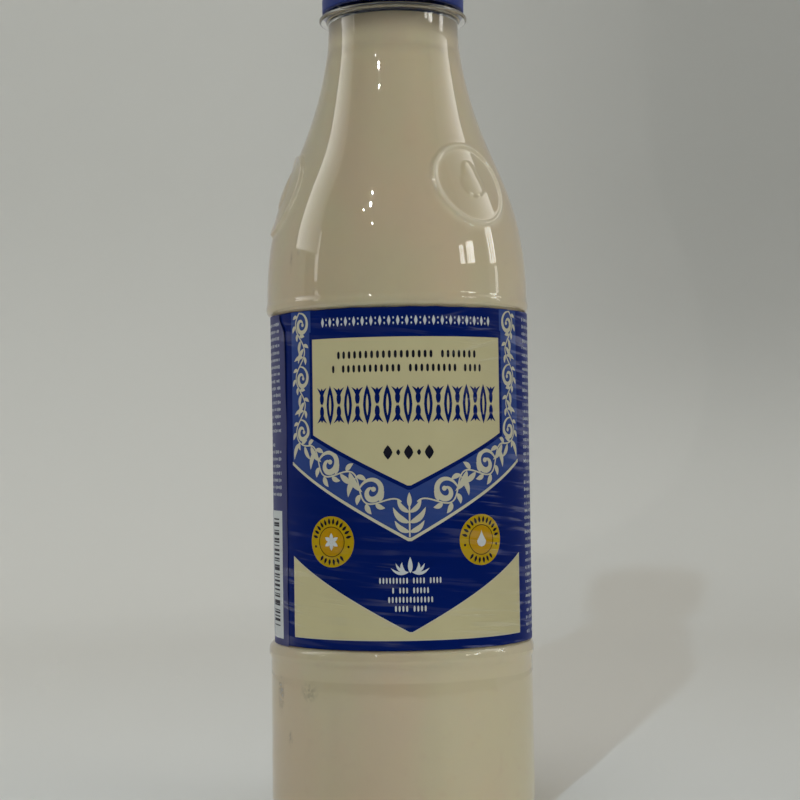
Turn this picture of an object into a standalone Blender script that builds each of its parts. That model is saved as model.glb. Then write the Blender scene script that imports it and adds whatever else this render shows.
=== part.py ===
"""A filled bottle of condensed milk: clear turned bottle, contents, wrap-round label and screw cap.

Metres, +Z up. The origin is at the middle of the foot ring, on the surface that the bottle
stands on, and the label's front panel faces -Y.
"""

import math

import bmesh
import bpy
import numpy as np
from mathutils import Matrix

# Overall
SEGMENTS = 48
GAP = 0.0003

# Bottle body, from the foot up
FOOT_INNER = 0.0272
PUSH_UP = 0.0055
PUSH_UP_EDGE = 0.0012
PUSH_UP_CROWN = 0.85
HEEL_RADIUS = 0.0066
HEEL_TOP = 0.03778
BODY_RADIUS = 0.03755
PANEL_RADIUS = 0.0364
LOWER_RIB_RADIUS = 0.0381
LOWER_RIB_BOTTOM = 0.0459
LOWER_RIB_TOP = 0.0507
UPPER_RIB_RADIUS = 0.0379
UPPER_RIB_BOTTOM = 0.1442
UPPER_RIB_TOP = 0.1480
RIB_FULLNESS = 0.7
WALL = 0.0005
BASE_WALL = 0.0009

# Shoulder: one cubic from the neck down to the rib above the label
NECK_RADIUS = 0.0189
NECK_BOTTOM = 0.2236
SHOULDER_RADIUS = 0.0376
NECK_HANDLE = (0.0235, 0.1870)
BODY_HANDLE = (0.0376, 0.1840)

# Neck finish above the shoulder
BORE_RADIUS = 0.0163
BORE_BOTTOM = 0.2202
RING_RADIUS = 0.0215
RING_BOTTOM = 0.2296
RING_TOP = 0.2309
RING_EDGE = 0.0005
FINISH_RADIUS = 0.0176
MOUTH_TOP = 0.2477
LIP_EDGE = 0.0005
THREAD_PITCH = 0.0042
THREAD_TURNS = 1.5
THREAD_BOTTOM = 0.2382
THREAD_BEAD = 0.0008
THREAD_PATH = 0.0178
THREAD_STEPS = 24
THREAD_RUN_OUT = 1 / 12
THREAD_SUNK = 0.00065

# Raised medallions round the shoulder
MEDALLION_COUNT = 3
MEDALLION_FIRST = math.radians(37.0)
MEDALLION_HEIGHT = 0.1785
MEDALLION_SPOKES = 32
MEDALLION_SKIRT = 0.0134
MEDALLION_FOOT = 0.0126
MEDALLION_CREST = (0.0115, 0.0121)
MEDALLION_DISH = 0.0108
MEDALLION_SINK = 0.00025
CREST_HEIGHT = 0.0007
DISH_HEIGHT = 0.0002
DROP_HEIGHT = 0.0007
DROP_RADIUS = 0.0036
DROP_POINT = 0.0032
DROP_BEVEL = 0.0006

# Contents
FILL_LEVEL = 0.2286

# Label
LABEL_BOTTOM = 0.0510
LABEL_TOP = 0.1438
LABEL_RADIUS = 0.0370

# Screw cap
CAP_RADIUS = 0.0206
CAP_BOTTOM = 0.2320
CAP_TOP = 0.2497
CAP_ROOF = 0.0015
CAP_BORE = 0.0192
CAP_EDGE = 0.0011
CAP_FOOT_EDGE = 0.0003
CAP_SKIRT = 0.0203
BAND_TOP = 0.2365
SLIT_HEIGHT = 0.0005
KNURL_COUNT = 48
KNURL_WIDTH = 0.0009
KNURL_DEPTH = 0.0007
KNURL_TOP = 0.2481
BRIDGE_COUNT = 8
BRIDGE_SIZE = (0.0007, 0.0010, 0.0012)


def clear_scene() -> None:
    """Remove every object of the scene."""
    for obj in list(bpy.data.objects):
        bpy.data.objects.remove(obj, do_unlink=True)


def new_collection(name: str) -> bpy.types.Collection:
    """A collection linked to the scene."""
    collection = bpy.data.collections.new(name)
    bpy.context.scene.collection.children.link(collection)
    return collection


def plastic(name: str, color: tuple, roughness: float, clear: float = 0.0) -> bpy.types.Material:
    """A Principled material for one sub-part."""
    material = bpy.data.materials.new(name)
    material.use_nodes = True
    shader = material.node_tree.nodes["Principled BSDF"]
    shader.inputs["Base Color"].default_value = (*color, 1.0)
    shader.inputs["Roughness"].default_value = roughness
    shader.inputs["Metallic"].default_value = 0.0
    shader.inputs["Transmission Weight"].default_value = clear
    return material


def arc(centre: tuple, radius: float, start: float, end: float, count: int) -> list:
    """Points (r, z) on a circle from one angle in degrees to another."""
    angles = np.radians(np.linspace(start, end, count))
    return [(centre[0] + radius * math.cos(a), centre[1] + radius * math.sin(a)) for a in angles]


def shoulder(count: int) -> np.ndarray:
    """Points (r, z) of the shoulder cubic, top to bottom."""
    t = np.linspace(0.0, 1.0, count)[:, None]
    start = np.array((NECK_RADIUS, NECK_BOTTOM))
    end = np.array((SHOULDER_RADIUS, UPPER_RIB_TOP))
    first = 3 * (1 - t) ** 2 * t * np.array(NECK_HANDLE)
    second = 3 * (1 - t) * t**2 * np.array(BODY_HANDLE)
    return (1 - t) ** 3 * start + first + second + t**3 * end


def rib(radius: float, bottom: float, top: float, count: int) -> list:
    """A rounded rib's points, top to bottom: half an ellipse between the two heights."""
    middle = (bottom + top) / 2
    turn = np.linspace(math.pi / 2, -math.pi / 2, count)[1:-1]
    half = (top - bottom) / 2
    depth = radius - PANEL_RADIUS
    return [(PANEL_RADIUS + depth * math.cos(a) ** RIB_FULLNESS, middle + half * math.sin(a)) for a in turn]


def body_profile(shoulder_points: int, rib_points: int, heel_points: int) -> np.ndarray:
    """The outer wall from the neck down to the middle of the base, as (r, z)."""
    upper = rib(UPPER_RIB_RADIUS, UPPER_RIB_BOTTOM, UPPER_RIB_TOP, rib_points)
    lower = rib(LOWER_RIB_RADIUS, LOWER_RIB_BOTTOM, LOWER_RIB_TOP, rib_points)
    heel = arc((HEEL_TOP - HEEL_RADIUS, HEEL_RADIUS), HEEL_RADIUS, 0, -90, heel_points)
    points = [*shoulder(shoulder_points)]
    points += [point for point in upper if point[0] > SHOULDER_RADIUS or point[1] < UPPER_RIB_BOTTOM + GAP]
    points += [(PANEL_RADIUS, UPPER_RIB_BOTTOM), (PANEL_RADIUS, LOWER_RIB_TOP)]
    points += [point for point in lower if point[0] > BODY_RADIUS or point[1] > LOWER_RIB_TOP - GAP]
    points += [(BODY_RADIUS, LOWER_RIB_BOTTOM), *heel]
    points += [(FOOT_INNER, 0.0), (FOOT_INNER - 2 * PUSH_UP_EDGE, PUSH_UP_EDGE)]
    points += [(FOOT_INNER / 2, PUSH_UP * PUSH_UP_CROWN), (0.0, PUSH_UP)]
    return np.array(points)


def inset(points: np.ndarray, depth: np.ndarray) -> np.ndarray:
    """The outline moved inwards by a depth for each point, square to the outline."""
    steps = np.diff(points, axis=0)
    steps /= np.linalg.norm(steps, axis=1)[:, None]
    inward = np.column_stack((steps[:, 1], -steps[:, 0]))
    before = np.vstack((inward[:1], inward))
    after = np.vstack((inward, inward[-1:]))
    dot = (before * after).sum(axis=1)
    moved = points + (before + after) / (1 + dot)[:, None] * depth[:, None]
    moved[-1, 0] = 0.0
    return moved


def cavity_profile(extra: float) -> np.ndarray:
    """The wall's inner face from the bore down to the middle of the base, inset by more if asked."""
    outer = body_profile(9, 5, 3)
    height = outer[:, 1]
    base = np.clip(1 - height / HEEL_RADIUS, 0.0, 1.0)
    depth = WALL + (BASE_WALL - WALL) * base + extra
    inner = inset(outer, depth)
    body = inner[(inner[:, 1] < BORE_BOTTOM - WALL) & (inner[:, 0] > BORE_RADIUS)]
    base_part = inner[(inner[:, 0] <= BORE_RADIUS) & (inner[:, 1] < HEEL_RADIUS)]
    bore = np.array([(BORE_RADIUS - extra, BORE_BOTTOM)])
    return np.vstack((bore, body, base_part))


def screw_object(name: str, points: list, closed: bool, collection: bpy.types.Collection) -> bpy.types.Object:
    """A turned solid: the profile (r, z) swept round Z by a Screw modifier."""
    mesh = bpy.data.meshes.new(name)
    edges = [(i, i + 1) for i in range(len(points) - 1)]
    if closed:
        edges.append((len(points) - 1, 0))
    mesh.from_pydata([(r, 0.0, z) for r, z in points], edges, [])
    obj = bpy.data.objects.new(name, mesh)
    collection.objects.link(obj)
    turn = obj.modifiers.new("Turn", "SCREW")
    turn.steps = SEGMENTS
    turn.render_steps = SEGMENTS
    turn.use_merge_vertices = True
    turn.merge_threshold = 0.00001
    turn.use_smooth_shade = True
    return obj


def evaluated_mesh(obj: bpy.types.Object) -> bpy.types.Mesh:
    """The object's mesh with its modifiers applied."""
    graph = bpy.context.evaluated_depsgraph_get()
    return bpy.data.meshes.new_from_object(obj.evaluated_get(graph), depsgraph=graph)


def add_boolean(obj: bpy.types.Object, name: str, operation: str, other) -> None:
    """A Boolean with one object, or with all the objects of a collection."""
    boolean = obj.modifiers.new(name, "BOOLEAN")
    boolean.operation = operation
    if isinstance(other, bpy.types.Collection):
        boolean.operand_type = "COLLECTION"
        boolean.collection = other
    else:
        boolean.object = other


def as_helper(obj: bpy.types.Object) -> bpy.types.Object:
    """Mark an object as a cutter or a guide."""
    obj.hide_render = True
    obj.display_type = "WIRE"
    return obj


def shoulder_radius(height: np.ndarray) -> np.ndarray:
    """The shoulder's radius at given heights."""
    curve = shoulder(200)
    return np.interp(height, curve[::-1, 1], curve[::-1, 0])


def on_shoulder(across: np.ndarray, up: np.ndarray, raised: np.ndarray, azimuth: float) -> np.ndarray:
    """Points of a medallion's own plane laid on the shoulder and raised square to it."""
    step = 0.001
    fall = shoulder_radius(MEDALLION_HEIGHT + step) - shoulder_radius(MEDALLION_HEIGHT - step)
    slope = math.atan(fall / (2 * step))
    height = MEDALLION_HEIGHT + up * math.cos(slope)
    radius = shoulder_radius(height)
    turn = azimuth + np.arcsin(across / radius)
    radius = radius + raised * math.cos(slope)
    height = height - raised * math.sin(slope)
    return np.column_stack((radius * np.sin(turn), -radius * np.cos(turn), height))


def drop_outline(angles: np.ndarray) -> np.ndarray:
    """Radius of a drop with its point up, by angle."""
    point = np.clip(np.cos((angles - math.pi / 2) * 1.5), 0.0, 1.0) ** 3
    near = np.abs(np.angle(np.exp(1j * (angles - math.pi / 2)))) < math.pi / 3
    return DROP_RADIUS + DROP_POINT * point * near


def medallion(name: str, azimuth: float, collection: bpy.types.Collection) -> bpy.types.Object:
    """A round relief on the shoulder: a thin crest round a dish with a drop in the middle."""
    angles = np.linspace(0, 2 * math.pi, MEDALLION_SPOKES, endpoint=False)
    drop = drop_outline(angles)
    round_ring = np.ones(MEDALLION_SPOKES)
    rings = [
        (drop * 0.5, DROP_HEIGHT),
        (drop, DROP_HEIGHT),
        (drop + DROP_BEVEL, DISH_HEIGHT),
        (round_ring * MEDALLION_DISH, DISH_HEIGHT),
        (round_ring * MEDALLION_CREST[0], CREST_HEIGHT),
        (round_ring * MEDALLION_CREST[1], CREST_HEIGHT),
        (round_ring * MEDALLION_FOOT, DISH_HEIGHT / 2),
        (round_ring * MEDALLION_SKIRT, -MEDALLION_SINK / 2),
        (round_ring * MEDALLION_SKIRT, -MEDALLION_SINK),
        (round_ring * MEDALLION_SKIRT * 2 / 3, -MEDALLION_SINK),
        (round_ring * MEDALLION_SKIRT / 3, -MEDALLION_SINK),
    ]
    across = [np.zeros(1)] + [radius * np.cos(angles) for radius, _ in rings] + [np.zeros(1)]
    up = [np.zeros(1)] + [radius * np.sin(angles) for radius, _ in rings] + [np.zeros(1)]
    raised = [np.full(1, DROP_HEIGHT)]
    raised += [np.full(MEDALLION_SPOKES, height) for _, height in rings]
    raised += [np.full(1, -MEDALLION_SINK)]
    points = on_shoulder(np.concatenate(across), np.concatenate(up), np.concatenate(raised), azimuth)

    shape = bmesh.new()
    verts = [shape.verts.new(point) for point in points]
    spokes = MEDALLION_SPOKES
    for i in range(spokes):
        after = (i + 1) % spokes
        shape.faces.new((verts[0], verts[1 + i], verts[1 + after]))
        for k in range(len(rings) - 1):
            inner, outer = 1 + k * spokes, 1 + (k + 1) * spokes
            shape.faces.new((verts[inner + i], verts[outer + i], verts[outer + after], verts[inner + after]))
        last = 1 + (len(rings) - 1) * spokes
        shape.faces.new((verts[last + i], verts[-1], verts[last + after]))
    bmesh.ops.recalc_face_normals(shape, faces=shape.faces)
    mesh = bpy.data.meshes.new(name)
    shape.to_mesh(mesh)
    shape.free()
    obj = bpy.data.objects.new(name, mesh)
    collection.objects.link(obj)
    return as_helper(obj)


def thread(name: str, collection: bpy.types.Collection) -> bpy.types.Object:
    """The neck's screw thread: a round bead wound up the finish, sunk at both ends."""
    count = int(THREAD_STEPS * THREAD_TURNS) + 1
    curve = bpy.data.curves.new(name, "CURVE")
    curve.dimensions = "3D"
    curve.bevel_depth = THREAD_BEAD
    curve.bevel_resolution = 2
    curve.use_fill_caps = True
    spline = curve.splines.new("POLY")
    spline.points.add(count - 1)
    for i in range(count):
        along = i / (count - 1)
        turn = 2 * math.pi * THREAD_TURNS * along
        risen = min(along, 1 - along, THREAD_RUN_OUT) / THREAD_RUN_OUT
        radius = THREAD_PATH - THREAD_SUNK * (1 - risen)
        height = THREAD_BOTTOM + THREAD_PITCH * THREAD_TURNS * along
        spline.points[i].co = (radius * math.cos(turn), radius * math.sin(turn), height, 1.0)
    guide = bpy.data.objects.new(name + "_path", curve)
    collection.objects.link(guide)
    mesh = evaluated_mesh(guide)
    bpy.data.objects.remove(guide)
    shape = bmesh.new()
    shape.from_mesh(mesh)
    bmesh.ops.remove_doubles(shape, verts=shape.verts, dist=0.000005)
    bmesh.ops.recalc_face_normals(shape, faces=shape.faces)
    shape.to_mesh(mesh)
    shape.free()
    obj = bpy.data.objects.new(name, mesh)
    collection.objects.link(obj)
    return as_helper(obj)


def block(
    name: str, size: tuple, radius: float, turn: float, height: float, collection: bpy.types.Collection
) -> bpy.types.Object:
    """A box of the given radial, tangential and vertical size, set at a radius round the axis."""
    mesh = bpy.data.meshes.new(name)
    shape = bmesh.new()
    bmesh.ops.create_cube(shape, size=1.0, matrix=Matrix.Diagonal((*size, 1.0)))
    shape.to_mesh(mesh)
    shape.free()
    obj = bpy.data.objects.new(name, mesh)
    obj.location = (radius * math.cos(turn), radius * math.sin(turn), height)
    obj.rotation_euler = (0.0, 0.0, turn)
    collection.objects.link(obj)
    return as_helper(obj)


def make_bottle(parts: bpy.types.Collection) -> bpy.types.Object:
    """The clear shell: foot, ribs, shoulder, support ring, thread and medallions in one piece."""
    inner = cavity_profile(0.0)[::-1]
    lip = [
        (BORE_RADIUS, MOUTH_TOP),
        (FINISH_RADIUS - LIP_EDGE, MOUTH_TOP),
        (FINISH_RADIUS, MOUTH_TOP - LIP_EDGE),
    ]
    ring = [
        (FINISH_RADIUS, RING_TOP),
        (RING_RADIUS - RING_EDGE, RING_TOP),
        (RING_RADIUS, RING_TOP - RING_EDGE),
        (RING_RADIUS, RING_BOTTOM + RING_EDGE),
        (RING_RADIUS - RING_EDGE, RING_BOTTOM),
        (NECK_RADIUS, RING_BOTTOM),
    ]
    outline = [*inner, *lip, *ring, *body_profile(15, 7, 5)]
    bottle = screw_object("bottle", outline, False, parts)
    relief = new_collection("relief")
    for i in range(MEDALLION_COUNT):
        azimuth = MEDALLION_FIRST + 2 * math.pi * i / MEDALLION_COUNT
        medallion(f"medallion_{i + 1}", azimuth, relief)
    thread("neck_thread", relief)
    add_boolean(bottle, "Relief", "UNION", relief)
    return bottle


def make_milk(parts: bpy.types.Collection) -> bpy.types.Object:
    """The contents, up to the fill level in the neck."""
    wall = cavity_profile(GAP)
    surface = [(0.0, FILL_LEVEL), (BORE_RADIUS - GAP, FILL_LEVEL)]
    return screw_object("milk", [*surface, *wall], False, parts)


def make_label(parts: bpy.types.Collection) -> bpy.types.Object:
    """The label sleeve in the panel between the two ribs."""
    inner = PANEL_RADIUS + GAP
    outline = [
        (LABEL_RADIUS, LABEL_TOP),
        (LABEL_RADIUS, LABEL_BOTTOM),
        (inner, LABEL_BOTTOM),
        (inner, LABEL_TOP),
    ]
    return screw_object("label", outline, True, parts)


def make_cap(parts: bpy.types.Collection, cutters: bpy.types.Collection) -> bpy.types.Object:
    """The screw cap: smooth foot band held by bridges, knurled skirt and flat roof."""
    outline = [(0.0, CAP_TOP)]
    outline += arc((CAP_SKIRT - CAP_EDGE, CAP_TOP - CAP_EDGE), CAP_EDGE, 90, 0, 4)
    outline += [
        (CAP_SKIRT, BAND_TOP + SLIT_HEIGHT),
        (CAP_RADIUS, BAND_TOP),
        (CAP_RADIUS, CAP_BOTTOM + CAP_FOOT_EDGE),
        (CAP_RADIUS - CAP_FOOT_EDGE, CAP_BOTTOM),
        (CAP_BORE, CAP_BOTTOM),
        (CAP_BORE, CAP_TOP - CAP_ROOF),
        (0.0, CAP_TOP - CAP_ROOF),
    ]
    cap = screw_object("screw_cap", outline, False, parts)
    slit = [
        (CAP_RADIUS + GAP, BAND_TOP + SLIT_HEIGHT / 2),
        (CAP_RADIUS + GAP, BAND_TOP - SLIT_HEIGHT / 2),
        (CAP_BORE - GAP, BAND_TOP - SLIT_HEIGHT / 2),
        (CAP_BORE - GAP, BAND_TOP + SLIT_HEIGHT / 2),
    ]
    add_boolean(cap, "Slit", "DIFFERENCE", as_helper(screw_object("band_slit", slit, True, cutters)))
    joined = new_collection("cap_additions")
    knurl_bottom = BAND_TOP + 2 * SLIT_HEIGHT
    knurl_size = (KNURL_DEPTH, KNURL_WIDTH, KNURL_TOP - knurl_bottom)
    for i in range(KNURL_COUNT):
        turn = 2 * math.pi * (i + 0.5) / KNURL_COUNT
        height = (KNURL_TOP + knurl_bottom) / 2
        block(f"knurl_{i + 1}", knurl_size, CAP_RADIUS - KNURL_DEPTH / 2, turn, height, joined)
    for i in range(BRIDGE_COUNT):
        turn = 2 * math.pi * (i + 0.25) / BRIDGE_COUNT
        block(f"bridge_{i + 1}", BRIDGE_SIZE, (CAP_BORE + CAP_SKIRT) / 2, turn, BAND_TOP, joined)
    add_boolean(cap, "Knurls", "UNION", joined)
    return cap


def finish(obj: bpy.types.Object, material: bpy.types.Material) -> None:
    """Give an object its one material and smooth shading with sharp corners kept."""
    obj.data.materials.append(material)
    mesh = obj.data
    if mesh.polygons:
        mesh.shade_smooth()
        mesh.set_sharp_from_angle(angle=math.radians(35))


def main() -> None:
    clear_scene()
    parts = new_collection("condensed_milk_bottle")
    cutters = new_collection("cutters")
    clear = plastic("clear_plastic", (0.92, 0.93, 0.90), 0.06, 1.0)
    cream = plastic("condensed_milk", (0.62, 0.55, 0.36), 0.35)
    film = plastic("label_film", (0.02, 0.05, 0.32), 0.3)
    blue = plastic("cap_plastic", (0.01, 0.05, 0.42), 0.35)
    finish(make_bottle(parts), clear)
    finish(make_milk(parts), cream)
    finish(make_label(parts), film)
    finish(make_cap(parts, cutters), blue)


main()
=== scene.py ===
"""A filled bottle of condensed milk, dressed for a soft studio picture.

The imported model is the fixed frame: metres, +Z up, the bottle's axis on Z, its foot at z 0 and
the front panel of the label facing -Y. Azimuths go round Z from -Y towards +X. Lengths in the
label's print are millimetres along the film, u round the bottle from the middle of the front
panel and v up from the foot.
"""

import logging
import math
from collections.abc import Callable, Sequence
from dataclasses import dataclass, field
from enum import Enum

import bmesh
import bpy
import numpy as np
from mathutils import Matrix, Vector


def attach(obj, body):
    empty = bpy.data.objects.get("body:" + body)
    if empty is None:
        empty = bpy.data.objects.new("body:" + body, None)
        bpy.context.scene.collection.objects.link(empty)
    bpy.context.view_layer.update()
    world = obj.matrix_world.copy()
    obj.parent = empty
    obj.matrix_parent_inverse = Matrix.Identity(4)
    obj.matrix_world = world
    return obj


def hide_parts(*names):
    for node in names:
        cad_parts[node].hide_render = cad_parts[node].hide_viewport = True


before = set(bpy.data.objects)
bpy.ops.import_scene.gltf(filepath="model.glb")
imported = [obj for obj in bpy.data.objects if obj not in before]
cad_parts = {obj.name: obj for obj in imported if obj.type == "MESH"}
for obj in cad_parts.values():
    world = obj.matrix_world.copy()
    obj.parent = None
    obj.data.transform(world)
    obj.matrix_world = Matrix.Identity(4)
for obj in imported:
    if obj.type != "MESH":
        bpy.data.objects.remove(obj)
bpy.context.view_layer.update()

LOG = logging.getLogger("milk_bottle")
MM = 0.001
TOUCHING = 1e-6
FULL_TURN = 2 * math.pi


# ---------------------------------------------------------------- curves and surfaces


def smooth(value: np.ndarray, low: float, high: float) -> np.ndarray:
    """A soft step: 0 up to low, 1 from high, 3t^2 - 2t^3 between; it falls if high is under low."""
    t = np.clip((value - low) / (high - low), 0.0, 1.0)
    return t * t * (3 - 2 * t)


def bump(value: np.ndarray, centre: float, width: float) -> np.ndarray:
    """A bell exp(-((x - centre) / width)^2)."""
    return np.exp(-(((value - centre) / width) ** 2))


def arc(centre: tuple[float, float], radius: float, start: float, end: float, count: int) -> np.ndarray:
    """Points on a circle, centre + radius (cos a, sin a), from one angle in degrees to another."""
    a = np.radians(np.linspace(start, end, count))
    return np.column_stack((centre[0] + radius * np.cos(a), centre[1] + radius * np.sin(a)))


def rounded(corners: Sequence[tuple[float, float, float]], steps: int = 6) -> np.ndarray:
    """A line of straight runs whose corners are rounded by arcs.

    Each arc touches both runs at radius / tan(half the corner's angle) from the corner, and its
    points are the two touching radii blended and brought back to the arc's radius.

    Args:
        corners: (x, y, fillet radius) of each corner; the ends take no fillet.
        steps: points on each arc.

    Returns:
        The points (n, 2).
    """
    spots = np.array([corner[:2] for corner in corners])
    pieces = [spots[:1]]
    for before, here, after, corner in zip(spots, spots[1:], spots[2:], corners[1:-1], strict=False):
        radius = corner[2]
        if radius <= 0:
            pieces.append(here[None])
            continue
        back = (before - here) / np.linalg.norm(before - here)
        ahead = (after - here) / np.linalg.norm(after - here)
        half = math.acos(float(np.clip(back @ ahead, -1.0, 1.0))) / 2
        reach = radius / math.tan(half)
        middle = here + (back + ahead) / np.linalg.norm(back + ahead) * radius / math.sin(half)
        share = np.linspace(0.0, 1.0, steps)[:, None]
        spokes = (here + back * reach - middle) * (1 - share) + (here + ahead * reach - middle) * share
        spokes *= radius / np.linalg.norm(spokes, axis=1)[:, None]
        pieces.append(middle + spokes)
    pieces.append(spots[-1:])
    return np.vstack(pieces)


def refined(line: np.ndarray, longest: float) -> np.ndarray:
    """The same line with points added so that no step is over the longest.

    Args:
        line: the points (n, 2).
        longest: the longest step.

    Returns:
        The points (m, 2).
    """
    lengths = np.linalg.norm(np.diff(line, axis=0), axis=1)
    counts = np.maximum(1, np.ceil(lengths / longest)).astype(int)
    steps = [np.linspace(0, 1, n, endpoint=False)[:, None] for n in counts]
    runs = [a + (b - a) * t for a, b, t in zip(line, line[1:], steps, strict=False)]
    return np.vstack((*runs, line[-1:]))


def square_to(line: np.ndarray) -> np.ndarray:
    """Unit vectors square to a line, on its left: outwards for a profile that runs down the outside.

    Args:
        line: the points (n, 2).

    Returns:
        The vectors (n, 2).
    """
    along = np.gradient(line, axis=0)
    along /= np.maximum(np.linalg.norm(along, axis=1), 1e-12)[:, None]
    return np.column_stack((-along[:, 1], along[:, 0]))


def turned(line: np.ndarray, azimuths: np.ndarray, raised: np.ndarray | None = None) -> np.ndarray:
    """A profile swept round Z: the point (r sin a, -r cos a, z), moved square to the profile.

    Args:
        line: the profile (rows, 2) as (r, z), running down the outside.
        azimuths: the columns' azimuths in radians.
        raised: how far each point stands proud, (rows, columns), or None.

    Returns:
        The points (rows, columns, 3).
    """
    lift = np.zeros((len(line), len(azimuths))) if raised is None else raised
    out = square_to(line)
    r = line[:, :1] + out[:, :1] * lift
    z = line[:, 1:] + out[:, 1:] * lift
    return np.stack((r * np.sin(azimuths), -r * np.cos(azimuths), z), axis=2)


def even_turn(columns: int) -> np.ndarray:
    """Azimuths of equal columns round a whole turn."""
    return np.linspace(0, FULL_TURN, columns, endpoint=False)


def round_axis(radius: float, azimuth: float, height: float) -> tuple[float, float, float]:
    """The point (r sin a, -r cos a, z) for an azimuth in radians."""
    return (radius * math.sin(azimuth), -radius * math.cos(azimuth), height)


def level_row(u: np.ndarray, v: float) -> np.ndarray:
    """Flat points (u, v) that all have one height."""
    return np.column_stack((u, np.full(len(u), v)))


@dataclass
class Patchwork:
    """Grids of points gathered into one mesh object."""

    name: str
    points: list[np.ndarray] = field(default_factory=list)
    faces: list[np.ndarray] = field(default_factory=list)
    normals: list[np.ndarray] = field(default_factory=list)
    count: int = 0

    def grids(self, points: np.ndarray, normals: np.ndarray | None = None, wrap: bool = False) -> None:
        """Add equal grids of quads, each corner order giving (row step) x (column step) as the normal.

        Args:
            points: (grids, rows, columns, 3).
            normals: the points' normals in the same shape, or None.
            wrap: True if the last column joins the first.
        """
        number, rows, columns = points.shape[:3]
        index = np.arange(number * rows * columns).reshape(number, rows, columns) + self.count
        if wrap:
            index = np.concatenate((index, index[:, :, :1]), axis=2)
        corners = (index[:, :-1, :-1], index[:, 1:, :-1], index[:, 1:, 1:], index[:, :-1, 1:])
        self.points.append(points.reshape(-1, 3))
        self.faces.append(np.stack(corners, axis=3).reshape(-1, 4))
        if normals is not None:
            self.normals.append(normals.reshape(-1, 3))
        self.count += number * rows * columns

    def grid(self, points: np.ndarray, wrap: bool = False) -> None:
        """Add one grid (rows, columns, 3)."""
        self.grids(points[None], wrap=wrap)

    def finished(self, merge: float = 0.0) -> bpy.types.Object:
        """The mesh object, smooth shaded.

        Args:
            merge: points nearer than this become one, which closes seams and poles; 0 for none.

        Returns:
            The new object, linked to the scene.
        """
        points = np.vstack(self.points)
        faces = np.vstack(self.faces)
        mesh = bpy.data.meshes.new(self.name)
        mesh.vertices.add(len(points))
        mesh.vertices.foreach_set("co", points.astype(np.float32).ravel())
        mesh.loops.add(faces.size)
        mesh.loops.foreach_set("vertex_index", faces.astype(np.int32).ravel())
        mesh.polygons.add(len(faces))
        mesh.polygons.foreach_set("loop_start", np.arange(0, faces.size, 4, dtype=np.int32))
        mesh.update(calc_edges=True)
        if merge:
            shape = bmesh.new()
            shape.from_mesh(mesh)
            bmesh.ops.remove_doubles(shape, verts=shape.verts, dist=merge)
            shape.to_mesh(mesh)
            shape.free()
        mesh.validate()
        mesh.shade_smooth()
        if self.normals:
            mesh.normals_split_custom_set_from_vertices(np.vstack(self.normals).tolist())
        obj = bpy.data.objects.new(self.name, mesh)
        bpy.context.scene.collection.objects.link(obj)
        return obj


# ---------------------------------------------------------------- shader expressions


class Value:
    """A node's output that takes part in arithmetic, each step adding a Math node."""

    def __init__(self, tree: "Tree", socket: bpy.types.NodeSocket) -> None:
        """Wrap one output socket of a tree."""
        self.tree = tree
        self.socket = socket

    def __add__(self, other: "Value | float") -> "Value":
        """This plus other."""
        return self.tree.math("ADD", self, other)

    def __radd__(self, other: float) -> "Value":
        """Other plus this."""
        return self.tree.math("ADD", other, self)

    def __sub__(self, other: "Value | float") -> "Value":
        """This less other."""
        return self.tree.math("SUBTRACT", self, other)

    def __rsub__(self, other: float) -> "Value":
        """Other less this."""
        return self.tree.math("SUBTRACT", other, self)

    def __mul__(self, other: "Value | float") -> "Value":
        """This times other."""
        return self.tree.math("MULTIPLY", self, other)

    def __rmul__(self, other: float) -> "Value":
        """Other times this."""
        return self.tree.math("MULTIPLY", other, self)

    def __pow__(self, other: float) -> "Value":
        """This to a power."""
        return self.tree.math("POWER", self, other)

    def step(self, low: float, high: float) -> "Value":
        """A soft step from 0 at low to 1 at high."""
        sockets = {"Value": self, "From Min": low, "From Max": high}
        return self.tree.out(self.tree.node("ShaderNodeMapRange", {"interpolation_type": "SMOOTHSTEP"}, sockets))

    def bell(self, centre: float, width: float) -> "Value":
        """exp(-((x - centre) / width)^2)."""
        off = (self - centre) * (1 / width)
        return self.tree.math("EXPONENT", (off * off) * -1.0, 0.0)


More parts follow.
